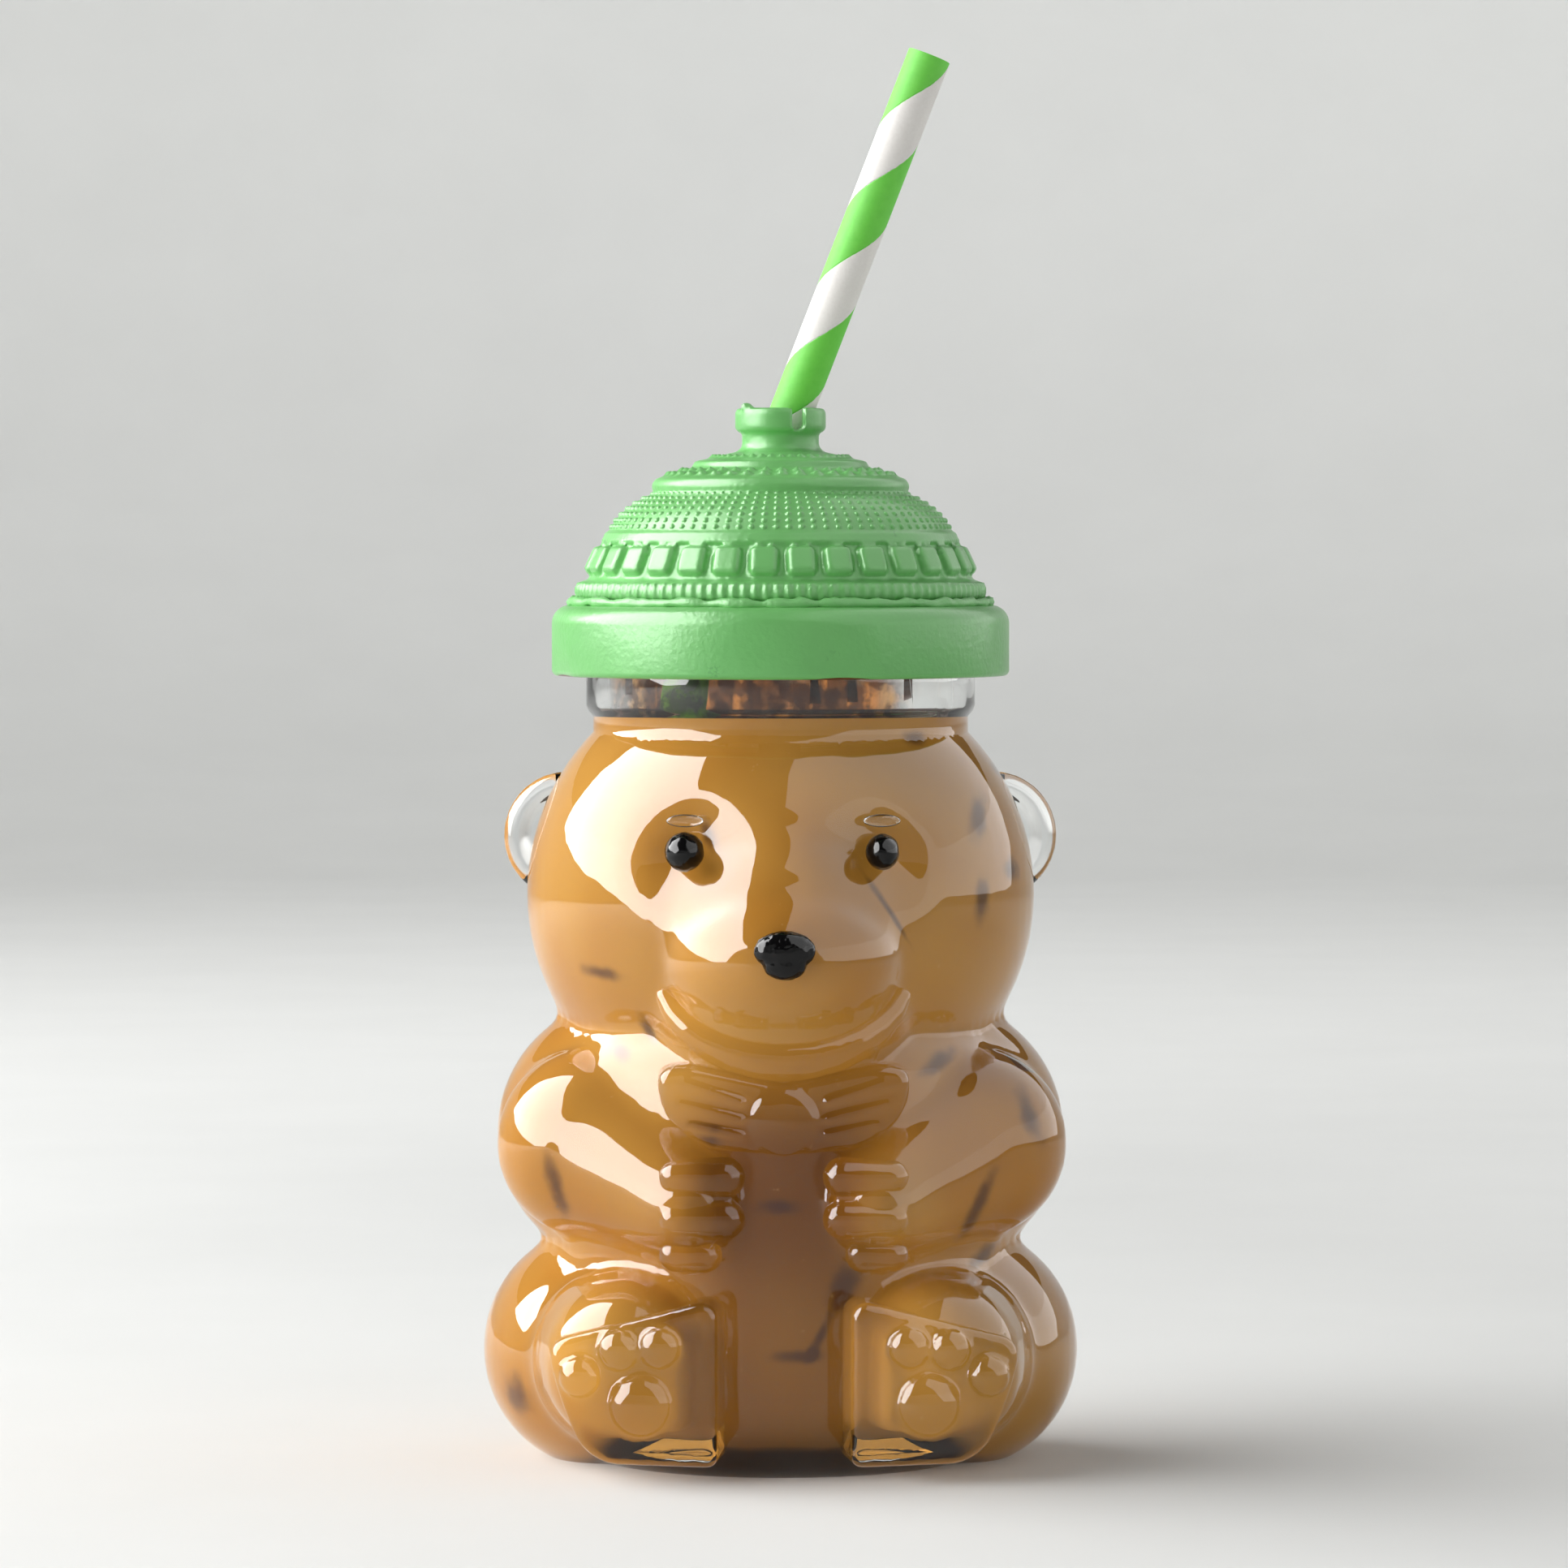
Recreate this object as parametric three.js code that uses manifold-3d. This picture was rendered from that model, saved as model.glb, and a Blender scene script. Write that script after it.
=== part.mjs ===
import * as THREE from "three";
import { mergeVertices } from "three/addons/utils/BufferGeometryUtils.js";
import Module from "manifold-3d";

// A glass jar in the shape of a sitting bear, with a drink, a domed twist lid and a leaning straw.
// Millimetres, +Z up, the bear faces -Y, the origin is the middle of its base.

const wasm = await Module();
wasm.setup();

// Clearances
const GAP = 0.3;
const SEAT_GAP = 0.2;

// Glass
const WALL = 2.8;
const FOOT_WALL = 4.4;
const BASE_THICKNESS = 5.3;

// Torso and head, both round about the jar's axis
const TORSO_RADIUS = 33.6;
const TORSO_Z = 31;
const TORSO_HALF_HEIGHT = 36;
const HEAD_RADIUS = 36.5;
const HEAD_HALF_HEIGHT = 34.4;
const HEAD_Z = 80.8;

// Arms, as bulges at the sides and forearms that cross the chest
const ARM_HALF_SPAN = 40.8;
const ARM_RADIUS = 19.3;
const ARM_HALF_DEPTH = 23;
const ARM_Z = 46.4;
const ELBOW_RADIUS = 13.6;
const WRIST_RADIUS = 8;
const WRIST_X = 13.2;
const WRIST_Z = 38.8;
const PAW_PROUD = 4.8;
const FINGER_RADIUS = 3.3;
const FINGER_TIP_RADIUS = 3.1;
const FINGER_LENGTH = 6.4;
const FINGER_PITCH = 6;
const FINGER_RISE = 1;

// Hips, thighs and feet
const HIP_HALF_SPAN = 42.8;
const HIP_RADIUS = 17.5;
const HIP_HALF_DEPTH = 25;
const HIP_Z = 15.4;
const THIGH_RADIUS = 14.5;
const ANKLE_RADIUS = 12.2;
const ANKLE_RISE = 1;
const FOOT_INNER_X = 9.2;
const FOOT_OUTER_X = 33;
const FOOT_BOTTOM_Z = 3.2;
const FOOT_INNER_TOP_Z = 26.6;
const FOOT_OUTER_TOP_Z = 21;
const FOOT_CORNER = 6;
const FOOT_HEEL_SHARE = 0.6;
const FOOT_BEVEL = 1.8;
const SOLE_Y = -42;
const TOE_RADIUS = 2.5;
const TOE_PLACES = [[17.5, 19.7], [23.7, 19.5], [28.4, 15.8]];
const PAD_RADIUS = 3.9;
const PAD_PLACE = [20.1, 11.6];
const PAD_PROUD = 0.9;

// Face
const MUZZLE_HALF_WIDTH = 17.3;
const MUZZLE_HALF_HEIGHT = 13.3;
const MUZZLE_PROUD = 7.5;
const MUZZLE_BELOW_HEAD = 7.6;
const CHIN_HALF_WIDTH = 19;
const CHIN_HALF_HEIGHT = 12;
const CHIN_PROUD = 2.1;
const CHIN_BELOW_HEAD = 14.5;
const SNOUT_HALF_DEPTH = 18;
const BRIDGE_HALF_WIDTH = 15;
const BRIDGE_HALF_HEIGHT = 14;
const BRIDGE_HALF_DEPTH = 13.5;
const BRIDGE_PROUD = 2.5;
const BRIDGE_BELOW_HEAD = 0.8;
const LIP_HALF_WIDTH = 17.8;
const LIP_DROP = 12.4;
const LIP_BELOW_HEAD = 9.2;
const LIP_CURVE = 6;
const LIP_RADIUS = 3.4;
const LIP_END_RADIUS = 1.6;
const LIP_SWEEP = 156;
const LIP_STEPS = 6;
const NOSE_HALF_WIDTH = 4.4;
const NOSE_HALF_HEIGHT = 3.4;
const NOSE_PROUD = 2;
const NOSE_ABOVE_MUZZLE = 1.2;
const EYE_RADIUS = 2.6;
const EYE_PROUD = 1.7;
const EYE_X = 13.7;
const EYE_ABOVE_HEAD = 7.2;
const BROW_HALF_WIDTH = 2.6;
const BROW_HALF_HEIGHT = 1;
const BROW_PROUD = 0.6;
const EAR_SPAN = 39.7;
const EAR_RADIUS = 7.4;
const EAR_RIM_RADIUS = 1.8;
const EAR_THICKNESS = 2.2;
const EAR_ABOVE_HEAD = 8.2;
const EAR_Y = 2;

// Bow on the chest
const BOW_HALF_WIDTH = 17.4;
const BOW_KNOT_HALF_WIDTH = 4.6;
const BOW_TOP_Z = 58;
const BOW_END_Z = 49;
const BOW_BOTTOM_Z = 46.2;
const BOW_LOBE_TOP_X = 14.6;
const BOW_LOBE_BULGE = 0.9;
const BOW_LOBE_LOW_X = 13.8;
const BOW_PROUD = 3.6;
const BOW_BEVEL = 1.8;

// Neck finish and its threads
const NECK_RADIUS = 27.9;
const NECK_WALL = 3;
const NECK_GROOVE = 1;
const NECK_ABOVE_HEAD = 26.5;
const NECK_HEIGHT = 12.7;
const RIM_BEVEL = 0.7;
const STARTS = 4;
const THREAD_LEAD = 14.5;
const THREAD_DEPTH = 3.2;
const THREAD_HEIGHT = 1.6;
const THREAD_SWEEP = 58;
const LID_TURN = 270;

// Lid
const LUG_ANGLE = -75;
const LUG_SWEEP = 16;
const LUG_HEIGHT = 1.2;
const LUG_GAP = 0.5;
const LID_GAP = 0.9;
const LID_WALL = 0.8;
const LID_SKIRT_DEPTH = 8;
const LID_SHOULDER = 2.4;
const LID_HOLE_RADIUS = 14;
const SEAL_THICKNESS = 0.9;
const SEAL_INSIDE = 0.6;

// Dome hat, as radii of its steps and the heights between them
const DOME_WALL = 1.2;
const ROLL_RADIUS = 29.3;
const ROLL_HEIGHT = 3.2;
const BLOCK_BAND_BOTTOM_RADIUS = 27.5;
const BLOCK_BAND_TOP_RADIUS = 25;
const BLOCK_BAND_HEIGHT = 5.4;
const BLOCK_COUNT = 32;
const BLOCK_WIDTH = 3.9;
const BLOCK_HEIGHT = 4.1;
const BLOCK_PROUD = 0.7;
const TWIN_RING_RADIUS = 25.6;
const TWIN_RING_HEIGHT = 1.6;
const DOT_BAND_BOTTOM_RADIUS = 24.6;
const DOT_BAND_TOP_RADIUS = 17.6;
const DOT_BAND_HEIGHT = 5.8;
const CROWN_RING_RADIUS = 18.1;
const CROWN_RING_HEIGHT = 1.8;
const CROWN_TOP_RADIUS = 11.8;
const CROWN_SLOPE_HEIGHT = 2.4;
const CROWN_CAP_HEIGHT = 1.4;
const SPOUT_RADIUS = 5.5;
const SPOUT_BORE_RADIUS = 4.75;
const SPOUT_HEIGHT = 3;
const COLLAR_RADIUS = 6.5;
const COLLAR_BORE_RADIUS = 5.6;
const COLLAR_TAPER = 0.2;
const COLLAR_HEIGHT = 3.3;
const COLLAR_SLOT_ANGLE = -66;
const COLLAR_SLOT_SWEEP = 17;
const GLUE_WIDTH = 1.1;
const GLUE_HEIGHT = 1;
const GLUE_WAVES = 9;
const GLUE_WAVE_HEIGHT = 0.2;

// Straw
const STRAW_RADIUS = 3.1;
const STRAW_WALL = 0.4;
const STRAW_LEAN = 21.2;
const STRAW_ABOVE_CROSSING = 59;

// Drink and ice
const FILL_BELOW_NECK = 0.5;
const ICE_SIZE = 14;
const ICE_BITE = 2;
// Each cube rises by a share of its size above the level of the head, the arms or the hips
const ICE_PLACES = [
  { angle: -25, level: HEAD_Z, rise: 0.73, turn: 20 },
  { angle: -128, level: HEAD_Z, rise: -0.56, turn: 50 },
  { angle: 40, level: HEAD_Z, rise: -1.06, turn: 70 },
  { angle: -28, level: ARM_Z, rise: 0.4, turn: 25 },
  { angle: -145, level: ARM_Z, rise: -0.24, turn: 15 },
  { angle: 60, level: HIP_Z, rise: 1.04, turn: 40 },
  { angle: -88, level: HIP_Z, rise: 0.47, turn: 60 },
];

// Mesh fineness
const OUTER_SIDES = 16;
const INNER_SIDES = 12;
const ROUND_SIDES = 32;
const SMALL_SIDES = 8;
const STRAW_SIDES = 14;
const EAR_SIDES = 16;
const SHOULDER_STEPS = 3;
const RINGS_PER_SIDE = 0.6;
const LARGE_FORM_SIDES = 1.4;
const FAR = 400;

// Values worked out from the sizes above
const SIDES = [-1, 1];
const FULL_TURN = 2 * Math.PI;
const lean = THREE.MathUtils.degToRad(STRAW_LEAN);
const neckZ = HEAD_Z + NECK_ABOVE_HEAD;
const rimZ = neckZ + NECK_HEIGHT;
const skirtZ = rimZ - LID_SKIRT_DEPTH;
const fillZ = neckZ - FILL_BELOW_NECK;
const neckBoreRadius = NECK_RADIUS - NECK_WALL;
const threadRadius = NECK_RADIUS + THREAD_DEPTH;
const skirtInnerRadius = threadRadius + LID_GAP;
const lidRadius = skirtInnerRadius + LID_WALL;
const sealBottomZ = rimZ + SEAT_GAP;
const panelZ = sealBottomZ + SEAL_THICKNESS + SEAT_GAP;
const panelTopZ = panelZ + LID_WALL;
const lugBottomZ = skirtZ + SEAT_GAP;
const threadBottomZ = lugBottomZ + LUG_HEIGHT + GAP;
const lidTravel = THREAD_LEAD * LID_TURN / 360;
const lugFrom = THREE.MathUtils.degToRad(LUG_ANGLE - LUG_SWEEP / 2);
const lugSweep = THREE.MathUtils.degToRad(LUG_SWEEP);
const threadSweep = THREE.MathUtils.degToRad(THREAD_SWEEP);
const domeBottomZ = panelTopZ + GAP;
const bandTop = ROLL_HEIGHT + BLOCK_BAND_HEIGHT;
const twinTop = bandTop + TWIN_RING_HEIGHT;
const dotTop = twinTop + DOT_BAND_HEIGHT;
const crownRingTop = dotTop + CROWN_RING_HEIGHT;
const slopeTop = crownRingTop + CROWN_SLOPE_HEIGHT;
const capTop = slopeTop + CROWN_CAP_HEIGHT;
const collarBottom = capTop + SPOUT_HEIGHT;
const collarTop = collarBottom + COLLAR_HEIGHT;
const strawHalfWidth = STRAW_RADIUS / Math.cos(lean);
const collarRoom = COLLAR_BORE_RADIUS - COLLAR_TAPER - GAP - strawHalfWidth;
const crossingZ = domeBottomZ + collarTop - collarRoom / Math.tan(lean);
const armX = ARM_HALF_SPAN - ARM_RADIUS;
const hipX = HIP_HALF_SPAN - HIP_RADIUS;
const muzzleZ = HEAD_Z - MUZZLE_BELOW_HEAD;
const chinZ = HEAD_Z - CHIN_BELOW_HEAD;
const muzzleFront = -(HEAD_RADIUS + MUZZLE_PROUD);
const chinFront = -(HEAD_RADIUS + CHIN_PROUD);
const bridgeFront = -(HEAD_RADIUS + BRIDGE_PROUD);
const chestFront = -TORSO_RADIUS;
const pawY = chestFront - PAW_PROUD + WRIST_RADIUS;

// Solids and meshes

function solid(geometry) {
  geometry.deleteAttribute("normal");
  geometry.deleteAttribute("uv");
  const merged = mergeVertices(geometry);
  const index = merged.index.array;
  const corners = [];
  for (let i = 0; i < index.length; i += 3) {
    const [a, b, c] = index.slice(i, i + 3);
    if (a !== b && b !== c && c !== a) corners.push(a, b, c);
  }
  const vertProperties = merged.attributes.position.array;
  const triVerts = new Uint32Array(corners);
  return new wasm.Manifold(new wasm.Mesh({ numProp: 3, vertProperties, triVerts }));
}

function join(solids) {
  return solids.reduce((sum, next) => sum.add(next));
}

function piece(name, body, color, roughness, metalness = 0) {
  const { vertProperties, triVerts } = body.getMesh();
  const geometry = new THREE.BufferGeometry();
  geometry.setAttribute("position", new THREE.BufferAttribute(vertProperties, 3));
  geometry.setIndex(new THREE.BufferAttribute(triVerts, 1));
  const mesh = new THREE.Mesh(geometry, new THREE.MeshStandardMaterial({ color, roughness, metalness }));
  mesh.name = name;
  return mesh;
}

// A ball stretched to the given half sizes
function ellipsoid([x, y, z], [rx, ry, rz], around = OUTER_SIDES) {
  const geometry = new THREE.SphereGeometry(1, around, Math.round(around * RINGS_PER_SIDE));
  geometry.rotateX(Math.PI / 2);
  geometry.scale(rx, ry, rz);
  geometry.translate(x, y, z);
  return solid(geometry);
}

// A profile of [radius, height] points turned about +Z
function revolve(profile, around = ROUND_SIDES) {
  const geometry = new THREE.LatheGeometry(profile.map(([r, z]) => new THREE.Vector2(r, z)), around);
  geometry.rotateX(Math.PI / 2);
  return solid(geometry);
}

// A closed ring profile turned about +Z, going up outside and down inside
function ring(profile, around = ROUND_SIDES) {
  return revolve([...profile, profile[0]], around);
}

// A tapered limb with round ends
function limb(start, end, startRadius, endRadius, around) {
  const from = new THREE.Vector3(...start);
  const along = new THREE.Vector3(...end).sub(from);
  const length = along.length();
  const slope = Math.asin((startRadius - endRadius) / length);
  const steps = Math.round(around / 4);
  const profile = [];
  for (let i = 0; i <= steps; i++) {
    const angle = -Math.PI / 2 + (slope + Math.PI / 2) * i / steps;
    profile.push(new THREE.Vector2(startRadius * Math.cos(angle), startRadius * Math.sin(angle)));
  }
  for (let i = 0; i <= steps; i++) {
    const angle = slope + (Math.PI / 2 - slope) * i / steps;
    profile.push(new THREE.Vector2(endRadius * Math.cos(angle), length + endRadius * Math.sin(angle)));
  }
  profile[0].x = 0;
  profile.at(-1).x = 0;
  const geometry = new THREE.LatheGeometry(profile, around);
  const up = new THREE.Vector3(0, 1, 0);
  geometry.applyQuaternion(new THREE.Quaternion().setFromUnitVectors(up, along.normalize()));
  geometry.translate(...start);
  return solid(geometry);
}

// Part of a flat ring, which may climb like a thread as it goes round
function sector(inner, outer, from, sweep, bottom, height, lead = 0) {
  const shape = new THREE.Shape();
  shape.absarc(0, 0, outer, from, from + sweep, false);
  shape.absarc(0, 0, inner, from + sweep, from, true);
  const options = { depth: height, bevelEnabled: false, curveSegments: 6 };
  const geometry = new THREE.ExtrudeGeometry(shape, options);
  const at = geometry.attributes.position;
  for (let i = 0; i < at.count; i++) {
    const turn = Math.atan2(at.getY(i), at.getX(i)) - from;
    const wrapped = turn - FULL_TURN * Math.round((turn - sweep / 2) / FULL_TURN);
    at.setZ(i, at.getZ(i) + bottom + lead * wrapped / FULL_TURN);
  }
  return solid(geometry);
}

// An outline in X and Z that stands from its front face back along +Y
function slab(shape, front, back, bevel) {
  const options = {
    depth: back - front - bevel,
    bevelSize: bevel,
    bevelOffset: -bevel,
    bevelThickness: bevel,
    bevelSegments: 2,
    curveSegments: 4,
  };
  const geometry = new THREE.ExtrudeGeometry(shape, options);
  geometry.rotateX(Math.PI / 2);
  geometry.translate(0, back, 0);
  return solid(geometry);
}

function block(width, depth, height) {
  return new THREE.BoxGeometry(width, depth, height);
}

// Everything above a level
function above(z) {
  return solid(block(FAR, FAR, FAR).translate(0, 0, z + FAR / 2));
}

// The bear's masses, each drawn in by an inset, for the outside, the cavity and the drink

function torso(inset, around) {
  const radius = TORSO_RADIUS - inset;
  const halfHeight = TORSO_HALF_HEIGHT - inset;
  const steps = Math.round(around * RINGS_PER_SIDE);
  const profile = [];
  for (let i = 0; i <= steps; i++) {
    const angle = -Math.PI / 2 + Math.PI * i / steps;
    const r = radius * Math.sqrt(Math.cos(angle));
    const z = halfHeight * Math.sign(angle) * Math.sqrt(Math.abs(Math.sin(angle)));
    profile.push([i % steps ? r : 0, TORSO_Z + z]);
  }
  return revolve(profile, Math.round(around * LARGE_FORM_SIDES));
}

function head(inset, around) {
  const radius = HEAD_RADIUS - inset;
  const halfSizes = [radius, radius, HEAD_HALF_HEIGHT - inset];
  return ellipsoid([0, 0, HEAD_Z], halfSizes, Math.round(around * LARGE_FORM_SIDES));
}

function muzzle(inset, around) {
  const middle = [0, muzzleFront + SNOUT_HALF_DEPTH, muzzleZ];
  const halfSizes = [MUZZLE_HALF_WIDTH - inset, SNOUT_HALF_DEPTH - inset, MUZZLE_HALF_HEIGHT - inset];
  return ellipsoid(middle, halfSizes, around);
}

function chin(inset, around) {
  const middle = [0, chinFront + SNOUT_HALF_DEPTH, chinZ];
  const halfSizes = [CHIN_HALF_WIDTH - inset, SNOUT_HALF_DEPTH - inset, CHIN_HALF_HEIGHT - inset];
  return ellipsoid(middle, halfSizes, around);
}

// The nose's bridge, which leads from the muzzle up to the brow
function bridge(inset, around) {
  const middle = [0, bridgeFront + BRIDGE_HALF_DEPTH, HEAD_Z - BRIDGE_BELOW_HEAD];
  const halfSizes = [BRIDGE_HALF_WIDTH - inset, BRIDGE_HALF_DEPTH - inset, BRIDGE_HALF_HEIGHT - inset];
  return ellipsoid(middle, halfSizes, around);
}

function arm(side, inset, around) {
  const radius = ARM_RADIUS - inset;
  const shoulder = ellipsoid([side * armX, 0, ARM_Z], [radius, ARM_HALF_DEPTH - inset, radius], around);
  const elbow = [side * (ARM_HALF_SPAN - ELBOW_RADIUS - GAP), pawY / 2, ARM_Z - GAP];
  const wrist = [side * WRIST_X, pawY, WRIST_Z];
  return shoulder.add(limb(elbow, wrist, ELBOW_RADIUS - inset, WRIST_RADIUS - inset, around));
}

function leg(side, inset, around) {
  const radius = HIP_RADIUS - inset;
  const hip = ellipsoid([side * hipX, 0, HIP_Z], [radius, HIP_HALF_DEPTH - inset, radius], around);
  const ankleX = (FOOT_INNER_X + FOOT_OUTER_X) / 2;
  const ankle = [side * ankleX, SOLE_Y + ANKLE_RADIUS + FOOT_BEVEL, HIP_Z + ANKLE_RISE];
  const thigh = limb([side * hipX, 0, HIP_Z], ankle, THIGH_RADIUS - inset, ANKLE_RADIUS - inset, around);
  return hip.add(thigh);
}

// The foot's sole is a rounded four-sided panel that faces forward
function foot(side, inset) {
  const inner = FOOT_INNER_X + inset;
  const outer = FOOT_OUTER_X - inset;
  const bottom = FOOT_BOTTOM_Z + inset;
  const innerTop = FOOT_INNER_TOP_Z - inset;
  const outerTop = FOOT_OUTER_TOP_Z - inset;
  const round = FOOT_CORNER / 2;
  const heel = (outerTop - bottom) * FOOT_HEEL_SHARE;
  const shape = new THREE.Shape();
  shape.moveTo(side * (inner + round), bottom);
  shape.lineTo(side * (outer - heel), bottom);
  shape.quadraticCurveTo(side * outer, bottom, side * outer, bottom + heel);
  shape.lineTo(side * outer, outerTop - round);
  shape.quadraticCurveTo(side * outer, outerTop, side * (outer - round), outerTop + round / 4);
  shape.lineTo(side * (inner + round), innerTop);
  shape.quadraticCurveTo(side * inner, innerTop, side * inner, innerTop - round);
  shape.lineTo(side * inner, bottom + round);
  shape.quadraticCurveTo(side * inner, bottom, side * (inner + round), bottom);
  return slab(shape, SOLE_Y + inset, -ANKLE_RADIUS, FOOT_BEVEL);
}

function bear(inset, around) {
  const face = [head, muzzle, chin, bridge].map((form) => form(inset, around));
  const masses = [torso(inset, around), ...face];
  const footInset = inset > 0 ? inset + FOOT_WALL - WALL : 0;
  for (const side of SIDES) {
    masses.push(arm(side, inset, around), leg(side, inset, around), foot(side, footInset));
  }
  return join(masses);
}

// Inside of the bear and its neck, from the floor of the jar up
function cavity(inset) {
  const boreRadius = neckBoreRadius - (inset - WALL);
  const bore = revolve([[0, HEAD_Z], [boreRadius, HEAD_Z], [boreRadius, FAR], [0, FAR]]);
  return bear(inset, INNER_SIDES).add(bore).intersect(above(BASE_THICKNESS + inset - WALL));
}

// Small solid glass forms

// A disc with a round rim
function ear(side) {
  const place = [side * (EAR_SPAN - EAR_RADIUS - EAR_RIM_RADIUS), EAR_Y, HEAD_Z + EAR_ABOVE_HEAD];
  const rim = new THREE.TorusGeometry(EAR_RADIUS, EAR_RIM_RADIUS, SMALL_SIDES, EAR_SIDES);
  const disc = new THREE.CylinderGeometry(EAR_RADIUS, EAR_RADIUS, EAR_THICKNESS, EAR_SIDES);
  rim.rotateX(Math.PI / 2).translate(...place);
  disc.translate(...place);
  return solid(rim).add(solid(disc));
}

// The lower lip, a roll that tapers to its ends and curves round the muzzle as a smile
function lip() {
  const points = Array.from({ length: LIP_STEPS + 1 }, (_, i) => {
    const angle = THREE.MathUtils.degToRad(LIP_SWEEP * (i / LIP_STEPS - 0.5));
    const depth = (1 - Math.cos(angle)) * LIP_CURVE;
    const place = [
      LIP_HALF_WIDTH * Math.sin(angle),
      chestFront - LIP_END_RADIUS + depth,
      HEAD_Z - LIP_BELOW_HEAD - LIP_DROP * Math.cos(angle),
    ];
    return { place, radius: LIP_END_RADIUS + (LIP_RADIUS - LIP_END_RADIUS) * Math.cos(angle) };
  });
  return points.slice(1).map((to, i) => {
    const from = points[i];
    return limb(from.place, to.place, from.radius, to.radius, SMALL_SIDES);
  });
}

function fingers(side) {
  return [0, 1].map((place) => {
    const z = WRIST_Z + FINGER_RISE + FINGER_PITCH / 2 - place * FINGER_PITCH;
    const tipX = WRIST_X + FINGER_RADIUS / 2 - FINGER_LENGTH;
    const y = chestFront - PAW_PROUD + FINGER_RADIUS;
    const knuckle = [side * (tipX + FINGER_LENGTH), y, z];
    return limb(knuckle, [side * tipX, y, z], FINGER_RADIUS, FINGER_TIP_RADIUS, SMALL_SIDES);
  });
}

function toes(side) {
  const pads = TOE_PLACES.map(([x, z]) => [x, z, TOE_RADIUS]);
  pads.push([...PAD_PLACE, PAD_RADIUS]);
  return pads.map(([x, z, radius]) =>
    ellipsoid([side * x, SOLE_Y, z], [radius, PAD_PROUD, radius], SMALL_SIDES));
}

function headFront(x, z) {
  const level = (z - HEAD_Z) / HEAD_HALF_HEIGHT;
  return -HEAD_RADIUS * Math.sqrt(1 - level * level - (x / HEAD_RADIUS) ** 2);
}

const eyeZ = HEAD_Z + EYE_ABOVE_HEAD;

function brow(side) {
  const z = eyeZ + EYE_RADIUS + GAP + BROW_HALF_HEIGHT;
  const middle = [side * EYE_X, headFront(EYE_X, z), z];
  return ellipsoid(middle, [BROW_HALF_WIDTH, BROW_PROUD, BROW_HALF_HEIGHT], SMALL_SIDES);
}

function bow() {
  const shape = new THREE.Shape();
  const knotTop = BOW_TOP_Z - (BOW_TOP_Z - BOW_END_Z) / 3;
  const lobeOut = BOW_HALF_WIDTH + BOW_LOBE_BULGE;
  shape.moveTo(0, BOW_BOTTOM_Z);
  shape.lineTo(BOW_KNOT_HALF_WIDTH, BOW_BOTTOM_Z);
  shape.quadraticCurveTo(BOW_LOBE_LOW_X, BOW_BOTTOM_Z, BOW_HALF_WIDTH, BOW_END_Z);
  shape.quadraticCurveTo(lobeOut, BOW_TOP_Z, BOW_LOBE_TOP_X, BOW_TOP_Z);
  shape.quadraticCurveTo(BOW_KNOT_HALF_WIDTH, knotTop, 0, knotTop);
  shape.quadraticCurveTo(-BOW_KNOT_HALF_WIDTH, knotTop, -BOW_LOBE_TOP_X, BOW_TOP_Z);
  shape.quadraticCurveTo(-lobeOut, BOW_TOP_Z, -BOW_HALF_WIDTH, BOW_END_Z);
  shape.quadraticCurveTo(-BOW_LOBE_LOW_X, BOW_BOTTOM_Z, -BOW_KNOT_HALF_WIDTH, BOW_BOTTOM_Z);
  shape.closePath();
  const knotZ = (BOW_BOTTOM_Z + knotTop) / 2;
  const knotSizes = [BOW_KNOT_HALF_WIDTH, BOW_PROUD + BOW_BEVEL, (knotTop - BOW_BOTTOM_Z) / 2 - GAP];
  const knot = ellipsoid([0, chestFront - GAP, knotZ], knotSizes, SMALL_SIDES);
  return slab(shape, chestFront - BOW_PROUD, chestFront / 2, BOW_BEVEL).add(knot);
}

function neck() {
  const grooveRadius = NECK_RADIUS - NECK_GROOVE;
  const profile = [
    [0, HEAD_Z],
    [grooveRadius, HEAD_Z],
    [grooveRadius, neckZ - NECK_GROOVE],
    [NECK_RADIUS, neckZ],
    [NECK_RADIUS, rimZ - RIM_BEVEL],
    [NECK_RADIUS - RIM_BEVEL, rimZ],
    [0, rimZ],
  ];
  const parts = [revolve(profile)];
  for (let start = 0; start < STARTS; start++) {
    const from = lugFrom + start * FULL_TURN / STARTS;
    const inner = NECK_RADIUS - NECK_WALL / 2;
    parts.push(sector(inner, threadRadius, from, threadSweep, threadBottomZ, THREAD_HEIGHT, THREAD_LEAD));
  }
  return join(parts);
}

function glassJar() {
  const outside = [bear(0, OUTER_SIDES), neck(), bow(), ...lip()];
  for (const side of SIDES) {
    outside.push(ear(side), brow(side), ...fingers(side), ...toes(side));
  }
  return join(outside).intersect(above(0)).subtract(cavity(WALL));
}

// Enamel on the face

function eye(side) {
  const ball = ellipsoid([side * EYE_X, headFront(EYE_X, eyeZ), eyeZ], [EYE_RADIUS, EYE_PROUD, EYE_RADIUS],
    INNER_SIDES);
  return ball.subtract(head(-GAP, OUTER_SIDES));
}

function nose() {
  const z = muzzleZ + NOSE_ABOVE_MUZZLE;
  const halfSizes = [NOSE_HALF_WIDTH, NOSE_PROUD, NOSE_HALF_HEIGHT];
  return ellipsoid([0, muzzleFront, z], halfSizes, INNER_SIDES).subtract(muzzle(-GAP, OUTER_SIDES));
}

// Straw: its lower end stops just short of the inside of the head

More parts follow.
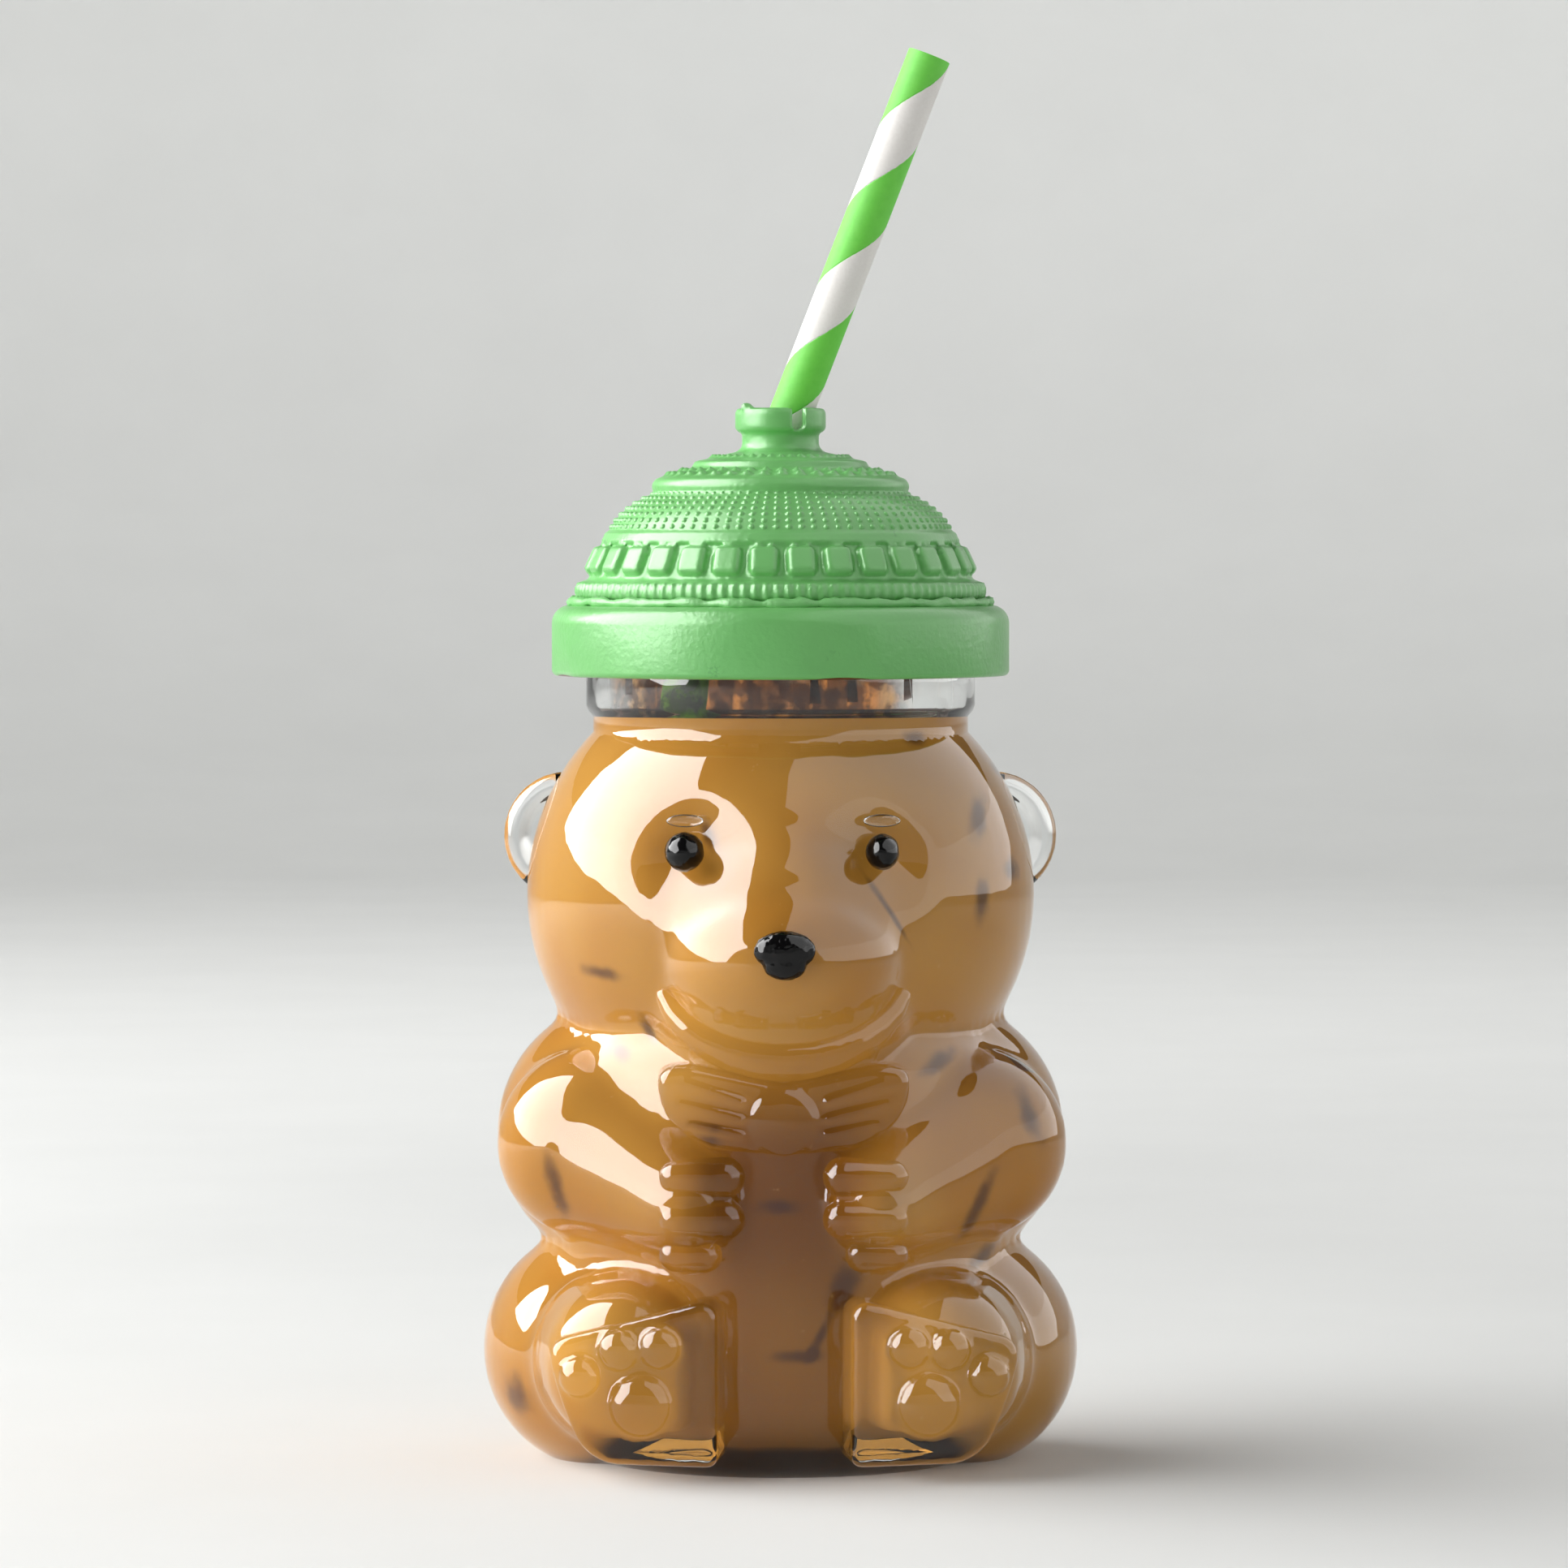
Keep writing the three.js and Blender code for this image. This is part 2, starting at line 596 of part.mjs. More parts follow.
function strawReach() {
  const across = HEAD_RADIUS - WALL - 2 * GAP;
  const up = HEAD_HALF_HEIGHT - WALL - 2 * GAP;
  const x = STRAW_RADIUS * Math.cos(lean) / across;
  const z = (crossingZ + STRAW_RADIUS * Math.sin(lean) - HEAD_Z) / up;
  const dx = Math.sin(lean) / across;
  const dz = -Math.cos(lean) / up;
  const a = dx * dx + dz * dz;
  const b = x * dx + z * dz;
  const c = x * x + z * z - 1;
  return (-b + Math.sqrt(b * b - a * c)) / a - 2 * GAP;
}

const strawBelowCrossing = strawReach();

function straw() {
  const bore = STRAW_RADIUS - STRAW_WALL;
  const profile = [
    [bore, -strawBelowCrossing],
    [STRAW_RADIUS, -strawBelowCrossing],
    [STRAW_RADIUS, STRAW_ABOVE_CROSSING],
    [bore, STRAW_ABOVE_CROSSING],
  ];
  return ring(profile, STRAW_SIDES);
}

// The room that the straw takes up in the drink while the lid lifts it
function strawRoom(spare) {
  const radius = STRAW_RADIUS + spare;
  const sweep = lidTravel * Math.sin(lean);
  const shape = new THREE.Shape();
  shape.absarc(0, 0, radius, Math.PI / 2, -Math.PI / 2, true);
  shape.absarc(-sweep, 0, radius, -Math.PI / 2, -3 * Math.PI / 2, true);
  shape.closePath();
  const below = strawBelowCrossing + spare;
  const options = { depth: below, bevelEnabled: false, curveSegments: 8 };
  const geometry = new THREE.ExtrudeGeometry(shape, options);
  geometry.translate(0, 0, -below);
  geometry.rotateY(lean);
  geometry.translate(0, 0, crossingZ);
  return solid(geometry);
}

// Drink and ice

function ice({ angle, level, rise, turn }, spare, room) {
  const z = level + rise * ICE_SIZE;
  const around = THREE.MathUtils.degToRad(angle);
  const size = ICE_SIZE + 2 * spare;
  const geometry = block(size, size, size);
  geometry.rotateX(THREE.MathUtils.degToRad(turn));
  geometry.rotateZ(around + THREE.MathUtils.degToRad(turn / 2));
  const reach = wallDistance(around, z, room) - ICE_SIZE / 2 + ICE_BITE;
  geometry.translate(reach * Math.cos(around), reach * Math.sin(around), z);
  return solid(geometry);
}

// How far the wall of a room lies from the axis, in one direction at one height
function wallDistance(angle, z, room) {
  const needle = block(FAR, GAP, GAP).translate(FAR / 2, 0, 0).rotateZ(angle).translate(0, 0, z);
  const { vertProperties } = room.intersect(solid(needle)).getMesh();
  let far = 0;
  for (let i = 0; i < vertProperties.length; i += 3) {
    far = Math.max(far, Math.hypot(vertProperties[i], vertProperties[i + 1]));
  }
  return far;
}

const drinkRoom = cavity(WALL + GAP).subtract(above(fillZ));
const iceCubes = ICE_PLACES.map((place) => ice(place, 0, drinkRoom).intersect(drinkRoom));
const iceHoles = ICE_PLACES.map((place) => ice(place, GAP, drinkRoom));
const drink = drinkRoom.subtract(strawRoom(GAP)).subtract(join(iceHoles));

// Lid, seal, hat and glue

function lidSeal() {
  const inner = neckBoreRadius - SEAL_INSIDE;
  const outer = skirtInnerRadius - GAP;
  const top = sealBottomZ + SEAL_THICKNESS;
  return ring([[inner, sealBottomZ], [outer, sealBottomZ], [outer, top], [inner, top]]);
}

function lidShell() {
  const shoulder = Array.from({ length: SHOULDER_STEPS + 1 }, (_, i) => {
    const angle = i / SHOULDER_STEPS * Math.PI / 2;
    const radius = lidRadius - LID_SHOULDER * (1 - Math.cos(angle));
    return [radius, panelTopZ - LID_SHOULDER * (1 - Math.sin(angle))];
  });
  const profile = [
    [LID_HOLE_RADIUS, panelZ],
    [skirtInnerRadius, panelZ],
    [skirtInnerRadius, skirtZ + LID_WALL / 2],
    [skirtInnerRadius + LID_WALL / 3, skirtZ],
    [lidRadius - LID_WALL / 3, skirtZ],
    [lidRadius, skirtZ + LID_WALL / 2],
    ...shoulder,
    [LID_HOLE_RADIUS, panelTopZ],
  ];
  const parts = [ring(profile)];
  for (let start = 0; start < STARTS; start++) {
    const from = lugFrom + start * FULL_TURN / STARTS;
    const outer = skirtInnerRadius + LID_WALL / 2;
    parts.push(sector(NECK_RADIUS + LUG_GAP, outer, from, lugSweep, lugBottomZ, LUG_HEIGHT, THREAD_LEAD));
  }
  return join(parts);
}

function domeHat() {
  const profile = [
    [ROLL_RADIUS - DOME_WALL, 0],
    [ROLL_RADIUS - DOME_WALL / 2, 0],
    [ROLL_RADIUS, ROLL_HEIGHT / 3],
    [ROLL_RADIUS, ROLL_HEIGHT * 2 / 3],
    [ROLL_RADIUS - DOME_WALL / 2, ROLL_HEIGHT],
    [BLOCK_BAND_BOTTOM_RADIUS, ROLL_HEIGHT],
    [BLOCK_BAND_TOP_RADIUS, bandTop],
    [TWIN_RING_RADIUS, bandTop],
    [TWIN_RING_RADIUS, twinTop],
    [DOT_BAND_BOTTOM_RADIUS, twinTop],
    [(DOT_BAND_BOTTOM_RADIUS + DOT_BAND_TOP_RADIUS) / 2 + DOME_WALL / 3, twinTop + DOT_BAND_HEIGHT / 2],
    [DOT_BAND_TOP_RADIUS, dotTop],
    [CROWN_RING_RADIUS, dotTop],
    [CROWN_RING_RADIUS - DOME_WALL / 2, crownRingTop],
    [CROWN_TOP_RADIUS, slopeTop],
    [SPOUT_RADIUS, capTop],
    [SPOUT_BORE_RADIUS, capTop],
    [SPOUT_BORE_RADIUS, capTop - DOME_WALL],
    [CROWN_TOP_RADIUS, slopeTop - DOME_WALL],
    [DOT_BAND_TOP_RADIUS - DOME_WALL, dotTop - DOME_WALL / 2],
    [DOT_BAND_BOTTOM_RADIUS - DOME_WALL, bandTop],
    [BLOCK_BAND_BOTTOM_RADIUS - DOME_WALL, ROLL_HEIGHT],
  ];
  return join([ring(profile), ...domeBlocks()]);
}

// The short neck on the hat that holds the straw, with its slotted collar
function strawCollar() {
  const profile = [
    [SPOUT_BORE_RADIUS, capTop + GAP],
    [SPOUT_RADIUS, capTop + GAP],
    [SPOUT_RADIUS, collarBottom],
    [COLLAR_RADIUS, collarBottom],
    [COLLAR_RADIUS - COLLAR_TAPER, collarTop],
    [COLLAR_BORE_RADIUS - COLLAR_TAPER, collarTop],
    [COLLAR_BORE_RADIUS - COLLAR_TAPER / 2, collarBottom + COLLAR_BORE_RADIUS - SPOUT_BORE_RADIUS],
    [SPOUT_BORE_RADIUS, collarBottom],
  ];
  const slotFrom = THREE.MathUtils.degToRad(COLLAR_SLOT_ANGLE - COLLAR_SLOT_SWEEP / 2);
  const slotSweep = THREE.MathUtils.degToRad(COLLAR_SLOT_SWEEP);
  const slot = sector(SPOUT_BORE_RADIUS / 2, COLLAR_RADIUS * 2, slotFrom, slotSweep, collarBottom, FAR);
  return ring(profile).subtract(slot);
}

// The raised blocks round the hat's brim
function domeBlocks() {
  const slant = Math.atan2(BLOCK_BAND_BOTTOM_RADIUS - BLOCK_BAND_TOP_RADIUS, BLOCK_BAND_HEIGHT);
  const radius = (BLOCK_BAND_BOTTOM_RADIUS + BLOCK_BAND_TOP_RADIUS) / 2;
  return Array.from({ length: BLOCK_COUNT }, (_, i) => {
    const geometry = block(DOME_WALL / 2 + BLOCK_PROUD, BLOCK_WIDTH, BLOCK_HEIGHT);
    geometry.translate((BLOCK_PROUD - DOME_WALL / 2) / 2, 0, 0);
    geometry.rotateY(-slant);
    geometry.translate(radius, 0, ROLL_HEIGHT + BLOCK_BAND_HEIGHT / 2);
    geometry.rotateZ((i + 0.5) * FULL_TURN / BLOCK_COUNT);
    return solid(geometry);
  });
}

function glueBead() {
  const inner = ROLL_RADIUS + GAP;
  const profile = [
    [inner, GAP],
    [inner + GLUE_WIDTH, GAP],
    [inner + GLUE_WIDTH / 2, GLUE_HEIGHT],
    [inner, GLUE_HEIGHT + GAP],
    [inner, GAP],
  ];
  const geometry = new THREE.LatheGeometry(profile.map(([r, z]) => new THREE.Vector2(r, z)), ROUND_SIDES);
  geometry.rotateX(Math.PI / 2);
  const at = geometry.attributes.position;
  for (let i = 0; i < at.count; i++) {
    const angle = Math.round(Math.atan2(at.getY(i), at.getX(i)) / FULL_TURN * ROUND_SIDES) / ROUND_SIDES;
    const wave = GLUE_WAVE_HEIGHT * Math.sin(GLUE_WAVES * FULL_TURN * angle);
    const outward = Math.hypot(at.getX(i), at.getY(i)) > inner + GAP / 2 ? 1 + wave / inner : 1;
    at.setXY(i, at.getX(i) * outward, at.getY(i) * outward);
  }
  return solid(geometry);
}

// The assembly

const model = new THREE.Group();
model.add(piece("glass_jar", glassJar(), 0xdfe8e6, 0.05));
model.add(piece("drink", drink, 0xc98f45, 0.4));
iceCubes.forEach((cube, i) => model.add(piece(`ice_cube_${i + 1}`, cube, 0xb8a894, 0.1)));
model.add(piece("left_eye", eye(-1), 0x0b0b0b, 0.15));
model.add(piece("right_eye", eye(1), 0x0b0b0b, 0.15));
model.add(piece("nose", nose(), 0x0b0b0b, 0.15));

const lid = new THREE.Group();
lid.add(piece("lid_seal", lidSeal(), 0xe8e4d8, 0.6));
lid.add(piece("lid_shell", lidShell(), 0x5fae63, 0.35));
model.add(lid);

const hat = new THREE.Group();
hat.position.z = domeBottomZ;
hat.add(piece("dome_hat", domeHat(), 0x5fae63, 0.4));
hat.add(piece("straw_collar", strawCollar(), 0x5fae63, 0.4));
lid.add(hat);

const glue = piece("glue_bead", glueBead(), 0x5aa860, 0.45);
glue.position.z = panelTopZ;
lid.add(glue);

const strawGroup = new THREE.Group();
strawGroup.position.z = crossingZ;
strawGroup.rotation.y = lean;
strawGroup.add(piece("straw", straw(), 0x55b13a, 0.7));
model.add(strawGroup);

export default model;
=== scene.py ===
# %% [markdown]
# # A glass bear jar with a domed lid and a paper straw
# The construction is already there as solids with joints. This lesson gives the jar its looks: pressed
# glass, the drink behind it, painted metal, a moulded dome and rolled paper. Each piece is modelled with
# the operators that a person would use by hand, at its real size and place, so nothing has to be moved
# afterwards.

# %% Frame and units
import math

import bmesh
import bpy
from mathutils import Matrix, Quaternion, Vector


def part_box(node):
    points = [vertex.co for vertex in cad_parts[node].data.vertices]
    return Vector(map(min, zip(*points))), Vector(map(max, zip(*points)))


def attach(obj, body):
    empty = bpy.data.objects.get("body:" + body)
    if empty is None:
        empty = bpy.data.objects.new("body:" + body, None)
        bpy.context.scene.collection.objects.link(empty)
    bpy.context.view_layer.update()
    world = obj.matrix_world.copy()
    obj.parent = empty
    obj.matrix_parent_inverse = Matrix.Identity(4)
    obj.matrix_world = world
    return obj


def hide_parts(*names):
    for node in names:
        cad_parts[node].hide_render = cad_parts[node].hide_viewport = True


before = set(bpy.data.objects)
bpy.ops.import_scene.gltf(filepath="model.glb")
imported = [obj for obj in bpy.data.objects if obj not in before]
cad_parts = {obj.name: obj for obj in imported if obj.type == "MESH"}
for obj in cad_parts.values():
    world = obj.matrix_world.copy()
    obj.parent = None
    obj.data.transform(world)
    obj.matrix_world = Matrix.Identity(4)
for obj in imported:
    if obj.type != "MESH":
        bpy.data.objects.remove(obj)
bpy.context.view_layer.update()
MM = 0.001
SIDES = (-1, 1)


def in_mm(corner):
    return [round(value / MM, 1) for value in corner]


# %% [markdown]
# ## Camera first
# The jar is seen from a metre away and from just above its lid's rim, slightly to its left. A long lens
# keeps its sides nearly parallel. The camera is placed first, so that every later step can be judged in
# its view.

# %% Camera
CAMERA_PLACE = (-13, -1000, 132)
CAMERA_TARGET = (0.5, 0, 96.4)
CAMERA_LENS = 160

bpy.ops.object.select_all(action="DESELECT")
bpy.ops.object.camera_add(location=Vector(CAMERA_PLACE) * MM)
camera = bpy.context.object
camera.data.lens = CAMERA_LENS
gaze = Vector(CAMERA_TARGET) - Vector(CAMERA_PLACE)
camera.rotation_euler = gaze.to_track_quat("-Z", "Y").to_euler()
bpy.context.scene.camera = camera
print("Camera:", CAMERA_LENS, "mm lens,", round(gaze.length), "mm from its target")

# %% [markdown]
# ## Hand tools
# Round bodies are easiest to build as a sculptor does: balls and tapered limbs are pressed together, a
# voxel remesh melts them into one skin, and a smoothing brush softens the creases. These few helpers add
# such lumps in millimetres, join them and apply modifiers.

# %% Lumps, joining and melting
def deselect():
    bpy.ops.object.select_all(action="DESELECT")


def ball(place, half_sizes, around=40):
    deselect()
    bpy.ops.mesh.primitive_uv_sphere_add(segments=around, ring_count=around // 2, radius=MM)
    lump = bpy.context.object
    lump.location = Vector(place) * MM
    lump.scale = half_sizes
    return lump


def limb(start, end, start_radius, end_radius, around=32):
    """A tapered limb with round ends, as three lumps."""
    start, end = Vector(start), Vector(end)
    along = end - start
    deselect()
    bpy.ops.mesh.primitive_cone_add(
        vertices=around, radius1=start_radius * MM, radius2=end_radius * MM, depth=along.length * MM,
        location=(start + end) / 2 * MM, rotation=along.to_track_quat("Z", "Y").to_euler())
    cone = bpy.context.object
    return [cone, ball(start, [start_radius] * 3, around), ball(end, [end_radius] * 3, around)]


def joined(name, lumps):
    deselect()
    for lump in lumps:
        lump.select_set(True)
    bpy.context.view_layer.objects.active = lumps[0]
    if len(lumps) > 1:
        bpy.ops.object.join()
    bpy.ops.object.transform_apply(location=True, rotation=True, scale=True)
    piece = bpy.context.object
    piece.name = piece.data.name = name
    return piece


def modify(piece, kind, **settings):
    deselect()
    piece.select_set(True)
    bpy.context.view_layer.objects.active = piece
    modifier = piece.modifiers.new(kind, kind)
    for setting, value in settings.items():
        setattr(modifier, setting, value)
    bpy.ops.object.modifier_apply(modifier=modifier.name)
    return piece


def melted(name, lumps, voxel, strokes):
    """Lumps joined into one skin, whose creases are softened by strokes of a smoothing brush."""
    piece = joined(name, lumps)
    modify(piece, "REMESH", mode="VOXEL", voxel_size=voxel * MM)
    return modify(piece, "SMOOTH", factor=0.5, iterations=strokes)


def copy_of(piece, name):
    deselect()
    piece.select_set(True)
    bpy.context.view_layer.objects.active = piece
    bpy.ops.object.duplicate()
    bpy.context.object.name = bpy.context.object.data.name = name
    return bpy.context.object


def cut(piece, tool):
    """Take a tool's volume off a closed piece; the tool is used up."""
    modify(piece, "BOOLEAN", operation="DIFFERENCE", object=tool, solver="MANIFOLD")
    bpy.data.objects.remove(tool)


def weld(piece, lump):
    """Join a closed lump to a closed piece with a crisp seam; the lump is used up."""
    modify(piece, "BOOLEAN", operation="UNION", object=lump, solver="MANIFOLD")
    bpy.data.objects.remove(lump)


def cut_flat(piece, height, keep_above):
    """Cut a closed piece level at a height, with a cube that is larger than the jar."""
    cube_size = 400
    middle = height - cube_size / 2 if keep_above else height + cube_size / 2
    deselect()
    bpy.ops.mesh.primitive_cube_add(size=cube_size * MM, location=(0, 0, middle * MM))
    cut(piece, bpy.context.object)


def press(piece, place, push, reach):
    """Push the skin near a place with a soft falloff, as a grab brush does."""
    grip = 1.5
    deselect()
    bpy.context.view_layer.objects.active = piece
    bpy.ops.object.mode_set(mode="EDIT")
    pick(piece, lambda middle: (middle - Vector(place)).length < grip, "verts")
    bpy.ops.transform.translate(value=Vector(push) * MM, use_proportional_edit=True,
                                proportional_edit_falloff="SMOOTH", proportional_size=reach * MM)
    bpy.ops.object.mode_set(mode="OBJECT")


def on_side(side, place):
    """A place that is given for the right side, mirrored for the left one."""
    x, y, z = place
    return Vector((side * x, y, z))


def size_of(piece):
    return f"{piece.name}: {len(piece.data.polygons)} faces, {in_mm(piece.dimensions)} mm"


# %% Lines, slabs and turned work
CLOSE = 0.1


def pick(piece, test, kind):
    """In edit mode, select the vertices, edges or faces whose middle, in millimetres, passes the test."""
    mesh = bmesh.from_edit_mesh(piece.data)
    bpy.ops.mesh.select_all(action="DESELECT")
    bpy.ops.mesh.select_mode(type={"verts": "VERT", "edges": "EDGE", "faces": "FACE"}[kind])
    for element in getattr(mesh, kind):
        corners = [element] if kind == "verts" else element.verts
        middle = sum((corner.co for corner in corners), Vector()) / len(corners) / MM
        element.select_set(test(middle))
    bmesh.update_edit_mesh(piece.data)


def drawn(points):
    """A line through the points, drawn by extruding one vertex; edit mode stays on."""
    deselect()
    bpy.ops.mesh.primitive_plane_add(size=MM)
    bpy.ops.object.mode_set(mode="EDIT")
    bpy.ops.mesh.select_mode(type="VERT")
    bpy.ops.mesh.merge(type="CENTER")
    bpy.ops.transform.translate(value=Vector(points[0]) * MM)
    for here, there in zip(points, points[1:]):
        step = (Vector(there) - Vector(here)) * MM
        bpy.ops.mesh.extrude_region_move(TRANSFORM_OT_translate={"value": step})
    return bpy.context.object


def turned(name, profile, steps, sweep=360):
    """A profile of (radius, height) points, spun round the jar's axis."""
    piece = drawn([(radius, 0, height) for radius, height in profile])
    bpy.ops.mesh.select_all(action="SELECT")
    bpy.ops.mesh.spin(steps=steps, angle=math.radians(sweep), center=(0, 0, 0), axis=(0, 0, 1))
    bpy.ops.mesh.select_all(action="SELECT")
    bpy.ops.mesh.remove_doubles(threshold=0.01 * MM)
    if sweep < 360:
        bpy.ops.mesh.fill_holes(sides=0)
    bpy.ops.mesh.normals_make_consistent(inside=False)
    bpy.ops.object.mode_set(mode="OBJECT")
    piece.name = piece.data.name = name
    return piece


def slab(corners, front, back, rounding, edge):
    """A flat block: corners of (x, z, corner radius) drawn at the front, and extruded to the back."""
    piece = drawn([(x, front, z) for x, z, _ in corners])
    ends = [Vector((x, front, z)) for x, z, _ in (corners[0], corners[-1])]
    pick(piece, lambda middle: min((middle - end).length for end in ends) < CLOSE, "verts")
    bpy.ops.mesh.edge_face_add()
    bpy.ops.mesh.select_all(action="SELECT")
    bpy.ops.mesh.edge_face_add()
    for x, z, radius in corners:
        corner = Vector((x, front, z))
        pick(piece, lambda middle: (middle - corner).length < CLOSE, "verts")
        bpy.ops.mesh.bevel(offset=radius * MM, segments=rounding, affect="VERTICES")
    bpy.ops.mesh.select_all(action="SELECT")
    bpy.ops.mesh.extrude_region_move(TRANSFORM_OT_translate={"value": (0, (back - front) * MM, 0)})
    pick(piece, lambda middle: abs(middle.y - front) < CLOSE, "edges")
    bpy.ops.mesh.bevel(offset=edge * MM, segments=3)
    bpy.ops.mesh.select_all(action="SELECT")
    bpy.ops.mesh.normals_make_consistent(inside=False)
    bpy.ops.object.mode_set(mode="OBJECT")
    return piece


def around_axis(piece, count):
    """Copies of a piece in a ring about the jar's axis."""
    deselect()
    bpy.ops.object.empty_add(rotation=(0, 0, 2 * math.pi / count))
    step = bpy.context.object
    modify(piece, "ARRAY", count=count, use_relative_offset=False, use_object_offset=True,
           offset_object=step)
    bpy.data.objects.remove(step)
    return piece


# %% [markdown]
# ## The bear's body
# The jar is pressed glass: every form is round and every crease is filled a little. It could be pulled
# from one subdivided cube, but a bear of melted balls keeps each form at a known size. The same lumps,
# made smaller by the wall, give the inside later, so the wall is even.

# %% Main forms
WALL = 2.8
BASE_THICKNESS = 5.3
TORSO_RADIUS = 33.6
TORSO_TOP = 64
TORSO_ROUNDING = 9
HEAD_PLACE = (0, 0, 80.8)
HEAD_SIZES = (36.5, 35.7, 34.4)
MUZZLE_PLACE = (0, -26, 73.2)
MUZZLE_SIZES = (17.3, 18, 13.3)
CHIN_PLACE = (0, -21.6, 66.3)
CHIN_SIZES = (19, 17, 12)
BRIDGE_PLACE = (0, -25.5, 80)
BRIDGE_SIZES = (19, 13.3, 14)
UPPER_ARM_PLACE = (21.5, 0, 46.4)
UPPER_ARM_SIZES = (19.3, 23, 19.3)
ELBOW_PLACE = (26.9, -14.7, 46.1)
ELBOW_RADIUS = 13.6
WRIST_PLACE = (13.2, -30.4, 38.8)
WRIST_RADIUS = 8
HIP_PLACE = (25.3, 0, 15.4)
HIP_SIZES = (17.5, 25, 17.5)
THIGH_RADIUS = 14.5
ANKLE_PLACE = (21.4, -28.4, 16.4)
ANKLE_RADIUS = 12.2
HEAD_SEGMENTS = 64
FORM_SEGMENTS = 48


def barrel(radius, bottom, top, rounding):
    deselect()
    bpy.ops.mesh.primitive_cylinder_add(
        vertices=72, radius=radius * MM, depth=(top - bottom) * MM, location=(0, 0, (bottom + top) / 2 * MM))
    return modify(bpy.context.object, "BEVEL", width=rounding * MM, segments=6)


def main_forms(inset, floor):
    """Torso, head, snout, arms and legs, each drawn in by the inset; the torso's floor is at a height."""
    def form(place, sizes, segments=FORM_SEGMENTS):
        return ball(place, [size - inset for size in sizes], segments)

    lumps = [
        barrel(TORSO_RADIUS - inset, floor, TORSO_TOP, TORSO_ROUNDING),
        form(HEAD_PLACE, HEAD_SIZES, HEAD_SEGMENTS),
        form(MUZZLE_PLACE, MUZZLE_SIZES),
        form(CHIN_PLACE, CHIN_SIZES),
        form(BRIDGE_PLACE, BRIDGE_SIZES),
    ]
    for side in SIDES:
        elbow = on_side(side, ELBOW_PLACE)
        wrist = on_side(side, WRIST_PLACE)
        hip = on_side(side, HIP_PLACE)
        ankle = on_side(side, ANKLE_PLACE)
        lumps.append(form(on_side(side, UPPER_ARM_PLACE), UPPER_ARM_SIZES))
        lumps.append(form(hip, HIP_SIZES))
        lumps.extend(limb(elbow, wrist, ELBOW_RADIUS - inset, WRIST_RADIUS - inset))
        lumps.extend(limb(hip, ankle, THIGH_RADIUS - inset, ANKLE_RADIUS - inset))
    return lumps


# %% Feet
SOLE_Y = -42
FOOT_BACK_Y = -26
FOOT_EDGE = 1.4
FOOT_ROUNDING_STEPS = 5
SHARPEST_CORNER = 1
# Each corner of the right sole: x, z and radius
FOOT_CORNERS = [(9.4, 3.2, 1.5), (27.4, 3.6, 4), (31.6, 12.4, 5), (33.4, 20.6, 3), (9.4, 26.8, 3)]
FOOT_MIDDLE = (21.1, 14.5)
FOOT_SPLAY = math.radians(7)


def splayed(piece, side):
    """Turn a piece of a foot outwards about the sole's inner edge."""
    hinge = Matrix.Translation(Vector((side * FOOT_CORNERS[0][0], SOLE_Y, 0)) * MM)
    turn = Matrix.Rotation(side * FOOT_SPLAY, 4, "Z")
    piece.matrix_basis = hinge @ turn @ hinge.inverted() @ piece.matrix_basis
    return piece


def foot(side, inset):
    """A block whose sole faces forward and a little outwards."""
    middle_x, middle_z = FOOT_MIDDLE
    corners = []
    for x, z, radius in FOOT_CORNERS:
        in_x = inset if x < middle_x else -inset
        in_z = inset if z < middle_z else -inset
        corners.append((side * (x + in_x), z + in_z, max(radius - inset, SHARPEST_CORNER)))
    return splayed(slab(corners, SOLE_Y + inset, FOOT_BACK_Y, FOOT_ROUNDING_STEPS, FOOT_EDGE), side)


# %% Ears, bow and lip
EAR_PLACE = (30.6, 2, 89)
EAR_RADIUS = 7.4
EAR_RIM_RADIUS = 1.8
EAR_THICKNESS = 2.2
# Each corner of the bow's right lobe: x, z and radius
LOBE_CORNERS = [
    (-0.5, 56, 0.2), (13.6, 59, 2), (17.6, 58, 1.8), (17.2, 52, 3), (11.6, 47, 3), (-0.5, 46, 0.2),
]
LOBE_FRONT_Y = -37
LOBE_BACK_Y = -20
LOBE_EDGE = 1.6
LOBE_ROUNDING_STEPS = 4
PLEAT_NEAR_X = 6
PLEAT_NEAR_Y = -36.8
PLEAT_NEAR_RADIUS = 0.8
PLEAT_FAR_Y = -36
PLEAT_FAR_RADIUS = 1.3
LIP_MIDDLE_Y = -28.6
LIP_MIDDLE_Z = 71.6
LIP_HALF_WIDTH = 17.4
LIP_REACH = 6.2
LIP_DROP = 12.2
LIP_HALF_TURN = 72
LIP_STEPS = 12
LIP_END_RADIUS = 0.6
LIP_SWELLING = 2.6


def ear(side):
    """A flat glass disc with a thick round rim."""
    place = on_side(side, EAR_PLACE) * MM
    upright = (math.pi / 2, 0, 0)
    deselect()
    bpy.ops.mesh.primitive_torus_add(
        major_segments=48, minor_segments=16, major_radius=EAR_RADIUS * MM, minor_radius=EAR_RIM_RADIUS * MM,
        location=place, rotation=upright)
    rim = bpy.context.object
    bpy.ops.mesh.primitive_cylinder_add(
        vertices=48, radius=EAR_RADIUS * MM, depth=EAR_THICKNESS * MM, location=place, rotation=upright)
    return [rim, bpy.context.object]


def bow_lobe(side):
    corners = [(side * x, z, radius) for x, z, radius in LOBE_CORNERS]
    return slab(corners, LOBE_FRONT_Y, LOBE_BACK_Y, LOBE_ROUNDING_STEPS, LOBE_EDGE)


